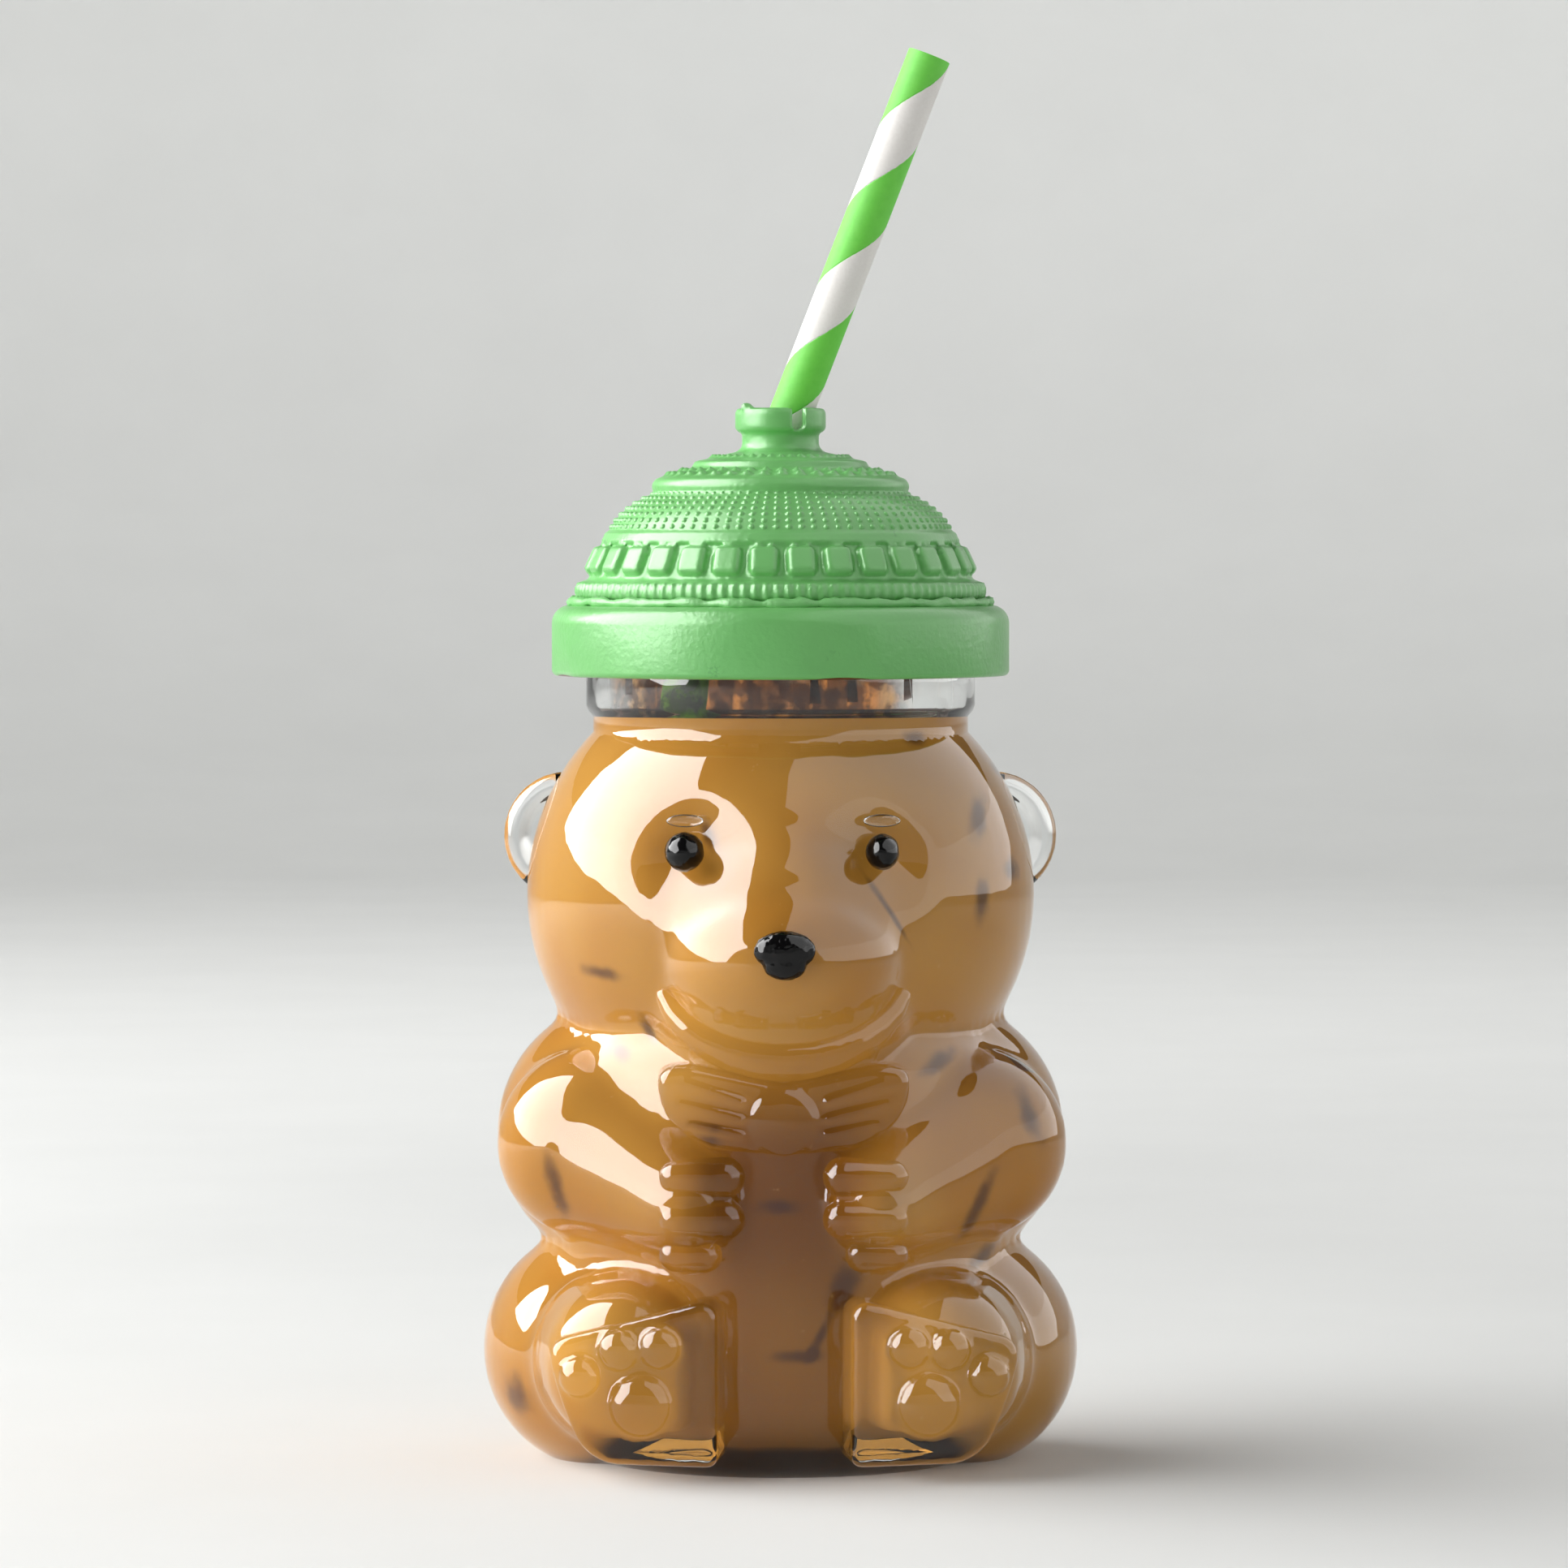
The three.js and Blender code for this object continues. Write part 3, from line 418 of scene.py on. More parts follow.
def pleat(side, near_z, far_x, far_z):
    """One fold of the bow, which widens from the knot to the lobe's end."""
    near = on_side(side, (PLEAT_NEAR_X, PLEAT_NEAR_Y, near_z))
    far = on_side(side, (far_x, PLEAT_FAR_Y, far_z))
    return limb(near, far, PLEAT_NEAR_RADIUS, PLEAT_FAR_RADIUS, 16)


def lip():
    """The lower lip, a tapering roll that curves round the muzzle as a smile."""
    points = []
    radii = []
    for part in range(LIP_STEPS + 1):
        turn = math.radians(LIP_HALF_TURN * (2 * part / LIP_STEPS - 1))
        forward = math.cos(turn)
        points.append((LIP_HALF_WIDTH * math.sin(turn), LIP_MIDDLE_Y - LIP_REACH * forward,
                       LIP_MIDDLE_Z - LIP_DROP * forward))
        radii.append(LIP_END_RADIUS + LIP_SWELLING * forward)
    rolls = []
    for start, end, start_radius, end_radius in zip(points, points[1:], radii, radii[1:]):
        rolls.extend(limb(start, end, start_radius, end_radius, 20))
    return rolls


# %% The soft forms melted together
BODY_VOXEL = 1.05
BODY_STROKES = 9
FLOOR_TO_CUT = -0.5
SOCKET_PLACE = (13.2, -33, 87)
SOCKET_PUSH = (0, 2.8, 0)
SOCKET_REACH = 10.5

glass = melted("glass_bear", main_forms(0, FLOOR_TO_CUT), BODY_VOXEL, BODY_STROKES)
for side in SIDES:
    press(glass, on_side(side, SOCKET_PLACE), SOCKET_PUSH, SOCKET_REACH)
print(size_of(glass))

# %% [markdown]
# ## Small raised forms
# Feet, fingers, ears, lip, bow and the neck's threads have clear edges in pressed glass. The body's
# coarse skin would wipe them out, so each is melted by itself with small voxels, and a Boolean welds it
# on with a clear seam. The brows are plain balls and the neck is turned, so these two are only welded.

# %% Feet and fingers
TOE_PLACES = [(17.3, SOLE_Y, 19.9), (23, SOLE_Y, 19.5), (28.4, SOLE_Y, 15.8)]
TOE_SIZES = (2.9, 2.2, 2.9)
PAD_PLACE = (20, SOLE_Y, 11.9)
PAD_SIZES = (4.3, 2.3, 4.3)
# Each finger of the right paw: the tip's x, y and z, and its radius
FINGERS = [(8.2, -36.1, 43.1, 2.9), (8.2, -36.1, 37.3, 2.9), (11, -34, 32.1, 2.5)]
KNUCKLE_X = 15
KNUCKLE_RADIUS = 2.4
DETAIL_VOXEL = 0.4
ROUND_VOXEL = 0.5

for side in SIDES:
    sole = [foot(side, 0)]
    for toe in TOE_PLACES:
        sole.append(splayed(ball(on_side(side, toe), TOE_SIZES), side))
    sole.append(splayed(ball(on_side(side, PAD_PLACE), PAD_SIZES), side))
    weld(glass, melted("foot", sole, DETAIL_VOXEL, 2))
    fingers = []
    for tip_x, y, z, tip_radius in FINGERS:
        knuckle = on_side(side, (KNUCKLE_X, y, z))
        fingers.extend(limb(knuckle, on_side(side, (tip_x, y, z)), KNUCKLE_RADIUS, tip_radius, 24))
    weld(glass, melted("fingers", fingers, DETAIL_VOXEL, 1))
print(size_of(glass))

# %% Lip, ears, bow and brows
KNOT_PLACE = (0, -36.4, 51)
KNOT_SIZES = (5.4, 1.9, 5)
# Each pleat of the right lobe: its z near the knot, and x and z at its far end
PLEATS = [(53.6, 13.6, 56), (51.2, 14.4, 53.2), (49, 13, 50.4)]
BROW_PLACE = (13.7, -31.4, 92.4)
BROW_SIZES = (2.6, 0.65, 0.9)

bow = [ball(KNOT_PLACE, KNOT_SIZES)]
for side in SIDES:
    bow.append(bow_lobe(side))
    for fold in PLEATS:
        bow.extend(pleat(side, *fold))
    weld(glass, joined("brow", [ball(on_side(side, BROW_PLACE), BROW_SIZES)]))
    weld(glass, melted("ear", ear(side), ROUND_VOXEL, 3))
weld(glass, melted("bow", bow, DETAIL_VOXEL, 2))
weld(glass, melted("lip", lip(), ROUND_VOXEL, 3))
print(size_of(glass))

# %% Neck and threads
NECK_RADIUS = 27.9
# The neck's outline, as points of radius and height, from inside the head up to the rim
NECK_PROFILE = [
    (0, 90), (26.9, 90), (26.9, 106.2), (27.6, 107),
    (NECK_RADIUS, 107.8), (NECK_RADIUS, 119.2), (27.2, 120), (0, 120),
]
FIRST_THREAD = -83
THREAD_STARTS = [FIRST_THREAD + quarter * 90 for quarter in range(4)]
THREAD_STEPS = 8
THREAD_SWEEP = 58
THREAD_PATH_RADIUS = 29
THREAD_RADIUS = 1.1
THREAD_LEAD = 14.5
THREAD_Z = 114.7


def thread(start):
    """A short climbing ridge on the neck, from an angle in degrees."""
    points = []
    for part in range(THREAD_STEPS + 1):
        degrees = THREAD_SWEEP * part / THREAD_STEPS
        angle = math.radians(start + degrees)
        height = THREAD_Z + THREAD_LEAD * degrees / 360
        points.append((THREAD_PATH_RADIUS * math.cos(angle), THREAD_PATH_RADIUS * math.sin(angle), height))
    ridge = []
    for here, there in zip(points, points[1:]):
        ridge.extend(limb(here, there, THREAD_RADIUS, THREAD_RADIUS, 12))
    return ridge


weld(glass, turned("neck", NECK_PROFILE, 96))
for start in THREAD_STARTS:
    weld(glass, melted("thread", thread(start), DETAIL_VOXEL, 1))
cut_flat(glass, 0, keep_above=True)
print(size_of(glass))

# %% [markdown]
# ## The hollow
# The inside follows the same forms, one wall's thickness further in, and its floor under the torso is
# thick. A Boolean cuts it out of the glass. The drink is poured into the same hollow. It is made a hair
# larger than the hollow, so that no film of air shows between drink and glass.

# %% Inside of the jar
FILL_Z = 106.8
DRINK_OVERLAP = 0.15
FOOT_WALL = 4.4
NECK_WALL = 3
BORE_BOTTOM = 85
BORE_TOP = 126
HOLLOW_VOXEL = 1.6
HOLLOW_STROKES = 5
INNER_SOCKET_PLACE = (12.2, -30.6, 86.5)

inner_forms = main_forms(WALL, BASE_THICKNESS)
for side in SIDES:
    inner_forms.append(foot(side, FOOT_WALL))
bore = NECK_RADIUS - NECK_WALL
bore_profile = [(0, BORE_BOTTOM), (bore, BORE_BOTTOM), (bore, BORE_TOP), (0, BORE_TOP)]
inner_forms.append(turned("bore", bore_profile, 96))
hollow = melted("hollow", inner_forms, HOLLOW_VOXEL, HOLLOW_STROKES)
for side in SIDES:
    press(hollow, on_side(side, INNER_SOCKET_PLACE), SOCKET_PUSH, SOCKET_REACH)
cut_flat(hollow, WALL, keep_above=True)
drink = copy_of(hollow, "milk_coffee")
modify(drink, "DISPLACE", strength=DRINK_OVERLAP * MM, mid_level=0)
cut_flat(drink, FILL_Z, keep_above=False)
cut(glass, hollow)
print(size_of(glass))
print(size_of(drink))

# %% [markdown]
# ## Enamel eyes and nose
# The eyes and the nose are bumps of the glass that someone painted black by hand, so their edges are
# uneven. Balls pressed flat give the bumps, and a little noise along the skin gives the brush's edge.

# %% Eyes and nose
def lumpy(piece, grain, strength):
    """Uneven skin, from a cloud texture of a given grain."""
    clouds = bpy.data.textures.new(piece.name, "CLOUDS")
    clouds.noise_scale = grain * MM
    return modify(piece, "DISPLACE", texture=clouds, texture_coords="LOCAL", strength=strength * MM)


def middle_of(node):
    low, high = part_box(node)
    return (Vector(low) + Vector(high)) / 2 / MM


SOCKET_DEPTH = Vector((0, 1.5, 0))
LEFT_EYE_SIZES = (2.75, 3.2, 2.75)
RIGHT_EYE_SIZES = (2.35, 3.1, 2.5)
NOSE_DEPTH = Vector((0, 1, 0))
NOSE_TOP_SHIFT = Vector((0, 0, 0.6))
NOSE_TOP_SIZES = (4.3, 2.2, 2.7)
NOSE_TIP_SHIFT = Vector((0, 0.1, -1.2))
NOSE_TIP_SIZES = (3.1, 2.1, 2.3)
NOSE_VOXEL = 0.2
NOSE_STROKES = 6
BRUSH_GRAIN = 1.1
BRUSH_HEIGHT = 0.3

left_eye_place = middle_of("left_eye") + SOCKET_DEPTH
left_eye = joined("eye_left", [ball(left_eye_place, LEFT_EYE_SIZES, FORM_SEGMENTS)])
right_eye_place = middle_of("right_eye") + SOCKET_DEPTH
right_eye = joined("eye_right", [ball(right_eye_place, RIGHT_EYE_SIZES, FORM_SEGMENTS)])
nose_place = middle_of("nose") + NOSE_DEPTH
nose_top = ball(nose_place + NOSE_TOP_SHIFT, NOSE_TOP_SIZES, FORM_SEGMENTS)
nose_tip = ball(nose_place + NOSE_TIP_SHIFT, NOSE_TIP_SIZES, FORM_SEGMENTS)
nose = melted("nose_enamel", [nose_top, nose_tip], NOSE_VOXEL, NOSE_STROKES)
for piece in (left_eye, right_eye, nose):
    lumpy(piece, BRUSH_GRAIN, BRUSH_HEIGHT)
    print(size_of(piece))

# %% [markdown]
# ## The steel lid
# A twist-off lid is one disc of tinplate: pressed down at the edge into a skirt, curled inwards at the
# bottom, and pinched into four lugs that catch the glass threads. A profile spun round the axis gives all
# of that but the lugs, which are short pieces of a turned ring. Soft dents from a grab brush show where
# each lug was pressed. The seal is a turned ring with rounded edges.

# %% Lid
LID_RADIUS = 32.8
LID_WALL = 0.8
SKIRT_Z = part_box("lid_shell")[0].z / MM
PANEL_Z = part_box("lid_shell")[1].z / MM
CURL_RADIUS = 0.8
SHOULDER = 2.6
FLAT_RADIUS = 29.4
HOLE_RADIUS = 14
HOLE_ROUNDING = 0.4
FIRST_LUG = -75
LUG_ANGLES = [FIRST_LUG + quarter * 90 for quarter in range(4)]
LUG_SWEEP = 16
# One lug's section, as points of radius and height above the skirt's edge
LUG_PROFILE = [(28.7, 0.2), (32, 0.2), (32, 1.4), (28.7, 1.4), (28.7, 0.2)]
DENT_HEIGHT = 1.2
DENT_DEPTH = 0.5
DENT_REACH = 5
SEAL_INNER = 24.3
SEAL_OUTER = 31.6
SEAL_ROUNDING = 0.25


def arc(middle, radius, start, end, steps):
    """Points of a round corner, in a profile's (radius, height) plane."""
    angles = [math.radians(start + (end - start) * step / steps) for step in range(steps + 1)]
    return [(middle[0] + radius * math.cos(a), middle[1] + radius * math.sin(a)) for a in angles]


def lid_profile():
    """A closed outline: the skirt's curl, its outside, the flat panel up to the hole, and the inside."""
    curl = arc((LID_RADIUS - CURL_RADIUS, SKIRT_Z + CURL_RADIUS), CURL_RADIUS, 180, 360, 8)
    shoulder_middle = (LID_RADIUS - SHOULDER, PANEL_Z - SHOULDER)
    outer = arc(shoulder_middle, SHOULDER, 0, 90, 8)
    hole_edge = HOLE_RADIUS + HOLE_ROUNDING
    panel = [(FLAT_RADIUS, PANEL_Z), (hole_edge, PANEL_Z), (HOLE_RADIUS, PANEL_Z - HOLE_ROUNDING),
             (hole_edge, PANEL_Z - LID_WALL)]
    inner = arc(shoulder_middle, SHOULDER - LID_WALL, 90, 0, 6)
    profile = curl + outer + panel + inner
    return profile + profile[:1]


lid = turned("lid_tin", lid_profile(), 144)
lid_parts = [lid]
for degrees in LUG_ANGLES:
    angle = math.radians(degrees)
    outward = Vector((math.cos(angle), math.sin(angle), 0))
    dent_place = outward * LID_RADIUS + Vector((0, 0, SKIRT_Z + DENT_HEIGHT))
    press(lid, dent_place, outward * -DENT_DEPTH, DENT_REACH)
    lug = turned("lug", [(radius, SKIRT_Z + height) for radius, height in LUG_PROFILE], 8, LUG_SWEEP)
    lug.rotation_euler.z = angle - math.radians(LUG_SWEEP / 2)
    lid_parts.append(lug)
lid = joined("lid_tin", lid_parts)
seal_low, seal_high = (corner.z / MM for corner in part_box("lid_seal"))
seal_corners = [
    (SEAL_INNER, seal_low), (SEAL_OUTER, seal_low), (SEAL_OUTER, seal_high), (SEAL_INNER, seal_high),
]
seal = turned("seal_compound", seal_corners + seal_corners[:1], 96)
modify(seal, "BEVEL", width=SEAL_ROUNDING * MM, segments=3)
print(size_of(lid))
print(size_of(seal))

# %% [markdown]
# ## The dome
# The hat on the lid is a moulding with a ribbed roll, a row of raised blocks, two thin rings, a knurled
# band and beads up to its spout. One of each ornament is modelled and copied round the axis. Thick paint
# has filled the corners, so body and ornaments are melted together with small voxels. Only the fine dots
# of the knurled band would run into each other that way. A Boolean welds them on afterwards, and the hat
# is hollowed last.

# %% Dome body
DOME_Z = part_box("dome_hat")[0].z / MM
BAND_MIDDLE_RADIUS = 9
BAND_MIDDLE_HEIGHT = 8.4
BAND_REACH = 15.9
BAND_RISE = 8.96
BAND_START = 12.9
BAND_END = 56.8
BAND_STEPS = 8
# The outlines are points of radius and height above the dome's foot
ROLL_OUTLINE = [
    (0, 0), (27.6, 0), (28.6, 0.1), (29.1, 0.7), (29.2, 1.6), (29.1, 2.5), (28.6, 3.1), (27.8, 3.3),
]
BLOCK_OUTLINE = [(27.4, 3.5), (26.9, 5), (26.1, 6.8), (25.1, 8.5)]
RING_OUTLINE = [(25.6, 8.6), (25.7, 9), (25.4, 9.3), (24.9, 9.4), (25.3, 9.6), (25.3, 10), (24.8, 10.2)]
CROWN_OUTLINE = [
    (18.3, 16), (18.5, 16.7), (18.2, 17.5), (17.6, 17.9), (13, 19.2), (12.6, 19.4), (12.5, 20.1),
    (11.9, 20.4), (10.6, 20.6), (8.4, 21.2), (6.4, 21.6), (5.7, 22.1),
]
SPOUT_OUTLINE = [
    (5.5, 22.6), (5.5, 24.3), (6.3, 24.6), (6.5, 25), (6.5, 27.3), (6.2, 27.8), (5.6, 27.9), (0, 27.9),
]
INSIDE_OUTLINE = [
    (0, -1), (26.3, -1), (26.3, 3.2), (23.4, 8.6), (16.4, 15.4), (11.8, 18.8), (4.8, 20.4), (4.8, 24.6),
    (5.5, 25.4), (5.4, 30), (0, 30),
]
SLOT_ANGLE = math.radians(-66)
SLOT_RADIUS = 6
SLOT_HEIGHT = 27
SLOT_SIZES = (4, 1.9, 4.4)


def band_point(degrees, proud=0):
    """A point on the knurled band's curve, as a radius and a height above the dome's foot."""
    angle = math.radians(degrees)
    radius = BAND_MIDDLE_RADIUS + (BAND_REACH + proud) * math.cos(angle)
    return radius, BAND_MIDDLE_HEIGHT + (BAND_RISE + proud) * math.sin(angle)


def above_lid(profile):
    return [(radius, DOME_Z + height) for radius, height in profile]


def dome_profile():
    shares = [step / BAND_STEPS for step in range(BAND_STEPS + 1)]
    band = [band_point(BAND_START + (BAND_END - BAND_START) * share) for share in shares]
    return above_lid(ROLL_OUTLINE + BLOCK_OUTLINE + RING_OUTLINE + band + CROWN_OUTLINE + SPOUT_OUTLINE)


def collar_slot():
    """A cutter for the slot in the spout's collar."""
    place = (SLOT_RADIUS * math.cos(SLOT_ANGLE), SLOT_RADIUS * math.sin(SLOT_ANGLE), DOME_Z + SLOT_HEIGHT)
    deselect()
    bpy.ops.mesh.primitive_cube_add(size=MM, location=Vector(place) * MM, rotation=(0, 0, SLOT_ANGLE))
    slot = bpy.context.object
    slot.scale = SLOT_SIZES
    return joined("slot", [slot])


dome_body = turned("dome", dome_profile(), 160)
cut(dome_body, collar_slot())
print(size_of(dome_body))

# %% Dome ornaments
# Heights are above the dome's foot; what is copied round the axis is placed on its right
RIB_COUNT = 118
RIB_PLACE = (29, 0, 1.7)
RIB_SIZES = (0.6, 0.5, 1.4)
BLOCK_COUNT = 32
BLOCK_PLACE = (26.35, 0, 5.95)
BLOCK_SIZES = (2.5, 4, 4.2)
BLOCK_SLANT = math.radians(25)
BLOCK_ROUNDING = 0.7
DOT_COLUMNS = 86
DOT_ROWS = 7
DOT_SINK = 0.14
DOT_RADIUS = 0.46
DOT_TAPER = 0.06
BEAD_COUNT = 40
LOW_BEAD_PLACE = (16, 0, 18.3)
LOW_BEAD_RADIUS = 0.72
HIGH_BEAD_PLACE = (14.2, 0, 18.9)
HIGH_BEAD_RADIUS = 0.6
PIP_COUNT = 44
PIP_PLACE = (9.7, 0, 20.9)
PIP_RADIUS = 0.5
BURR_PLACE = (-4.9, -3.4, 28)
BURR_SIZES = (0.9, 0.6, 0.7)
DOME_VOXEL = 0.36
DOME_FOOT = Vector((0, 0, DOME_Z))


def block():
    deselect()
    place = DOME_FOOT + Vector(BLOCK_PLACE)
    bpy.ops.mesh.primitive_cube_add(size=MM, location=place * MM, rotation=(0, -BLOCK_SLANT, 0))
    made = bpy.context.object
    made.scale = BLOCK_SIZES
    joined("block", [made])
    return modify(made, "BEVEL", width=BLOCK_ROUNDING * MM, segments=3)


def bead(place, sizes, around=10):
    return ball(DOME_FOOT + Vector(place), sizes, around)


def dot_column():
    dots = []
    for row in range(DOT_ROWS):
        share = (row + 0.5) / DOT_ROWS
        radius, height = band_point(BAND_START + (BAND_END - BAND_START) * share, -DOT_SINK)
        dots.append(bead((radius, 0, height), [DOT_RADIUS - DOT_TAPER * share] * 3))
    return joined("dots", dots)


blocks = around_axis(block(), BLOCK_COUNT)
blocks.rotation_euler.z = math.pi / BLOCK_COUNT
ribs = around_axis(joined("rib", [bead(RIB_PLACE, RIB_SIZES)]), RIB_COUNT)
dots = around_axis(dot_column(), DOT_COLUMNS)
bead_pair = [bead(LOW_BEAD_PLACE, [LOW_BEAD_RADIUS] * 3), bead(HIGH_BEAD_PLACE, [HIGH_BEAD_RADIUS] * 3)]
beads = around_axis(joined("bead", bead_pair), BEAD_COUNT)
pips = around_axis(joined("pip", [bead(PIP_PLACE, [PIP_RADIUS] * 3, 8)]), PIP_COUNT)
burr = bead(BURR_PLACE, BURR_SIZES, 12)
dome = melted("dome", [dome_body, blocks, ribs, beads, pips, burr], DOME_VOXEL, 1)
weld(dome, dots)
cut(dome, turned("dome_inside", above_lid(INSIDE_OUTLINE), 96))
print(size_of(dome))

# %% [markdown]
# ## Glue line
# The dome was glued on before the paint went over everything. The squeezed-out glue is a thin, uneven
# bead. It is a ring of small round section, and two grains of noise make it swell and pinch.

# %% Glue
GLUE_RADIUS = 29.9
GLUE_HEIGHT = 0.45
GLUE_SECTION = 0.7
# Each noise on the glue: its grain and its height
GLUE_NOISES = [(2.6, 1.1), (0.8, 0.4)]

glue = turned("glue_line", arc((GLUE_RADIUS, PANEL_Z + GLUE_HEIGHT), GLUE_SECTION, 0, 360, 8), 260)
for grain, height in GLUE_NOISES:
    lumpy(glue, grain, height)
print(size_of(glue))

# %% [markdown]
# ## Paper straw
# The straw is a tube of rolled paper that leans in the collar. Its two ends are read from the frame, so
# it lies exactly where the joint slides it. The tube is an open cylinder that Solidify gives its paper
# wall.

# %% Straw
STRAW_RADIUS = 3.1
STRAW_WALL = 0.4
STRAW_ROUNDING = 0.08
STRAW_LEAN = math.radians(21.2)
straw_low, straw_high = (Vector(corner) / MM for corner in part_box("straw"))
rim = Vector((STRAW_RADIUS * math.cos(STRAW_LEAN), 0, STRAW_RADIUS * math.sin(STRAW_LEAN)))
straw_foot = Vector((straw_low.x, 0, straw_low.z)) + rim
straw_top = Vector((straw_high.x, 0, straw_high.z)) - rim

deselect()
bpy.ops.mesh.primitive_cylinder_add(
    vertices=64, radius=STRAW_RADIUS * MM, depth=(straw_top - straw_foot).length * MM,
    end_fill_type="NOTHING", location=(straw_top + straw_foot) / 2 * MM, rotation=(0, STRAW_LEAN, 0))
straw = joined("paper_straw", [bpy.context.object])
modify(straw, "SOLIDIFY", thickness=STRAW_WALL * MM, offset=-1)
modify(straw, "BEVEL", width=STRAW_ROUNDING * MM, segments=2)
print(size_of(straw))

# %% [markdown]
# ## Ice
# Seven cubes lie in the drink, close to the glass. Each has melted corners and an uneven skin, and is
# turned its own way at the place that the frame gives. Milk hides the cubes, so the smears where they
# touch the glass come with the drink's finish.

# %% Ice cubes
ICE_COUNT = 7
ICE_SIZE = 9.4
ICE_TURN = (0.7, 1.1, 0.4)
ICE_ROUNDING = 2.2
ICE_GRAIN = 4
ICE_UNEVENNESS = 1

ice_cubes = []
for number in range(1, ICE_COUNT + 1):
    deselect()
    bpy.ops.mesh.primitive_cube_add(size=ICE_SIZE * MM, location=middle_of(f"ice_cube_{number}") * MM,
                                    rotation=[number * turn for turn in ICE_TURN])
    cube = joined(f"ice_{number}", [bpy.context.object])
    modify(cube, "BEVEL", width=ICE_ROUNDING * MM, segments=4)
    modify(cube, "SUBSURF", levels=1, render_levels=1)
    ice_cubes.append(lumpy(cube, ICE_GRAIN, ICE_UNEVENNESS))
print(len(ice_cubes), "ice cubes")

# %% [markdown]
# ## Shader sums
# A finish is easier to read as a sum than as a web of nodes. This class wraps one output of a node:
# adding or multiplying two of them adds the Math node that does it, and one method adds any other node.

# %% Wires
class Wire:
    """An output of a shader node that can be used in sums."""

    def __init__(self, tree, socket):
        self.tree = tree
        self.socket = socket

    def feed(self, slot, value):
        if isinstance(value, Wire):
            self.tree.links.new(value.socket, slot)
        else:
            slot.default_value = value

    def node(self, kind, sockets=None, settings=None, output=None):
        """Any node: its settings are set first, then the values or links of its sockets."""
        made = self.tree.nodes.new(kind)
        for setting, value in (settings or {}).items():
            setattr(made, setting, value)
        for name, value in (sockets or {}).items():
            slot = next(s for s in made.inputs if s.enabled and name in (s.name, s.identifier))
            self.feed(slot, value)
        outputs = [s for s in made.outputs if s.enabled and output in (None, s.name)]
        return Wire(self.tree, outputs[0]) if outputs else None

    def sum(self, operation, first, second=None):
        sockets = {"Value": first}
        if second is not None:
            sockets["Value_001"] = second
        return self.node("ShaderNodeMath", sockets, {"operation": operation})

    def __add__(self, other):
        return self.sum("ADD", self, other)

    def __sub__(self, other):
        return self.sum("SUBTRACT", self, other)

    def __rsub__(self, other):
        return self.sum("SUBTRACT", other, self)

    def __mul__(self, other):
        return self.sum("MULTIPLY", self, other)

    def __truediv__(self, other):
        return self.sum("DIVIDE", self, other)

    __radd__ = __add__


# %% Finishing helpers
def colour(red, green, blue):
    """A screen colour, from 0 to 255, as the linear colour that shaders use."""
    shares = [value / 255 for value in (red, green, blue)]
    return [s / 12.92 if s < 0.04045 else ((s + 0.055) / 1.055) ** 2.4 for s in shares] + [1]


def new_finish(name):
    """A material and its place on the piece, in metres."""
    material = bpy.data.materials.new(name)
    material.use_nodes = True
    tree = material.node_tree
    tree.nodes.clear()
    return material, Wire(tree, tree.nodes.new("ShaderNodeTexCoord").outputs["Object"])


def noise(place, grain, detail):
    """Soft noise from 0 to 1 whose lumps are about one grain, in millimetres, across."""
    return place.node("ShaderNodeTexNoise", {"Vector": place, "Scale": 1 / (grain * MM), "Detail": detail})


def step(value, low, high):
    """A smooth step from 0 at low to 1 at high."""
    sockets = {"Value": value, "From Min": low, "From Max": high}
    return value.node("ShaderNodeMapRange", sockets, {"interpolation_type": "SMOOTHSTEP"})


def fade(value, low, high):
    """A smooth step between two lengths in millimetres."""
    return step(value, low * MM, high * MM)


def blend(factor, first, second):
    return factor.node("ShaderNodeMix", {"Factor": factor, "A": first, "B": second}, {"data_type": "RGBA"})


def axis_distance(place):
    """How far a place is from the jar's axis."""
    level = {"Vector": place, "Vector_001": (1, 1, 0)}
    flat = place.node("ShaderNodeVectorMath", level, {"operation": "MULTIPLY"})
    return place.node("ShaderNodeVectorMath", {"Vector": flat}, {"operation": "LENGTH"}, "Value")


def parts_of(place):
    """The x, y and z of a place."""
    return [place.node("ShaderNodeSeparateXYZ", {"Vector": place}, output=axis) for axis in "XYZ"]


def bump(height, depth):
    """A bumpy normal whose full height is a depth in millimetres."""
    return height.node("ShaderNodeBump", {"Height": height, "Distance": depth * MM, "Strength": 1})


def surface(place, **sockets):
    """A Principled surface on the material's output."""
    named = {name.replace("_", " "): value for name, value in sockets.items()}
    shader = place.node("ShaderNodeBsdfPrincipled", named)
    place.node("ShaderNodeOutputMaterial", {"Surface": shader})


# %% [markdown]
# ## Clear glass
# Pressed glass bends the view and mirrors the windows, and its skin is never quite flat. Light that
# passes through to the drink would be slow and grainy to trace, so lamp rays and bounced light go
# straight through, which is nearly what thin glass does to them anyway. Inside the neck, a ragged film of
# coffee is left from shaking the jar. Its tint is nearly black, as painted shade under the lid, and its
# thinner patches are painted orange glints.

# %% Glass finish
CLEAR_TINT = (0.985, 0.995, 0.99, 1)
# The thick film's near-black tint is painted shade under the lid; the thin film's orange tint gives painted
# glints
THICK_FILM_SHADE_TINT = (0.06, 0.018, 0.007, 1)
THIN_FILM_GLINT_TINT = (0.78, 0.3, 0.07, 1)
SPLASH_HEIGHT = 6
GLASS_IOR = 1.5

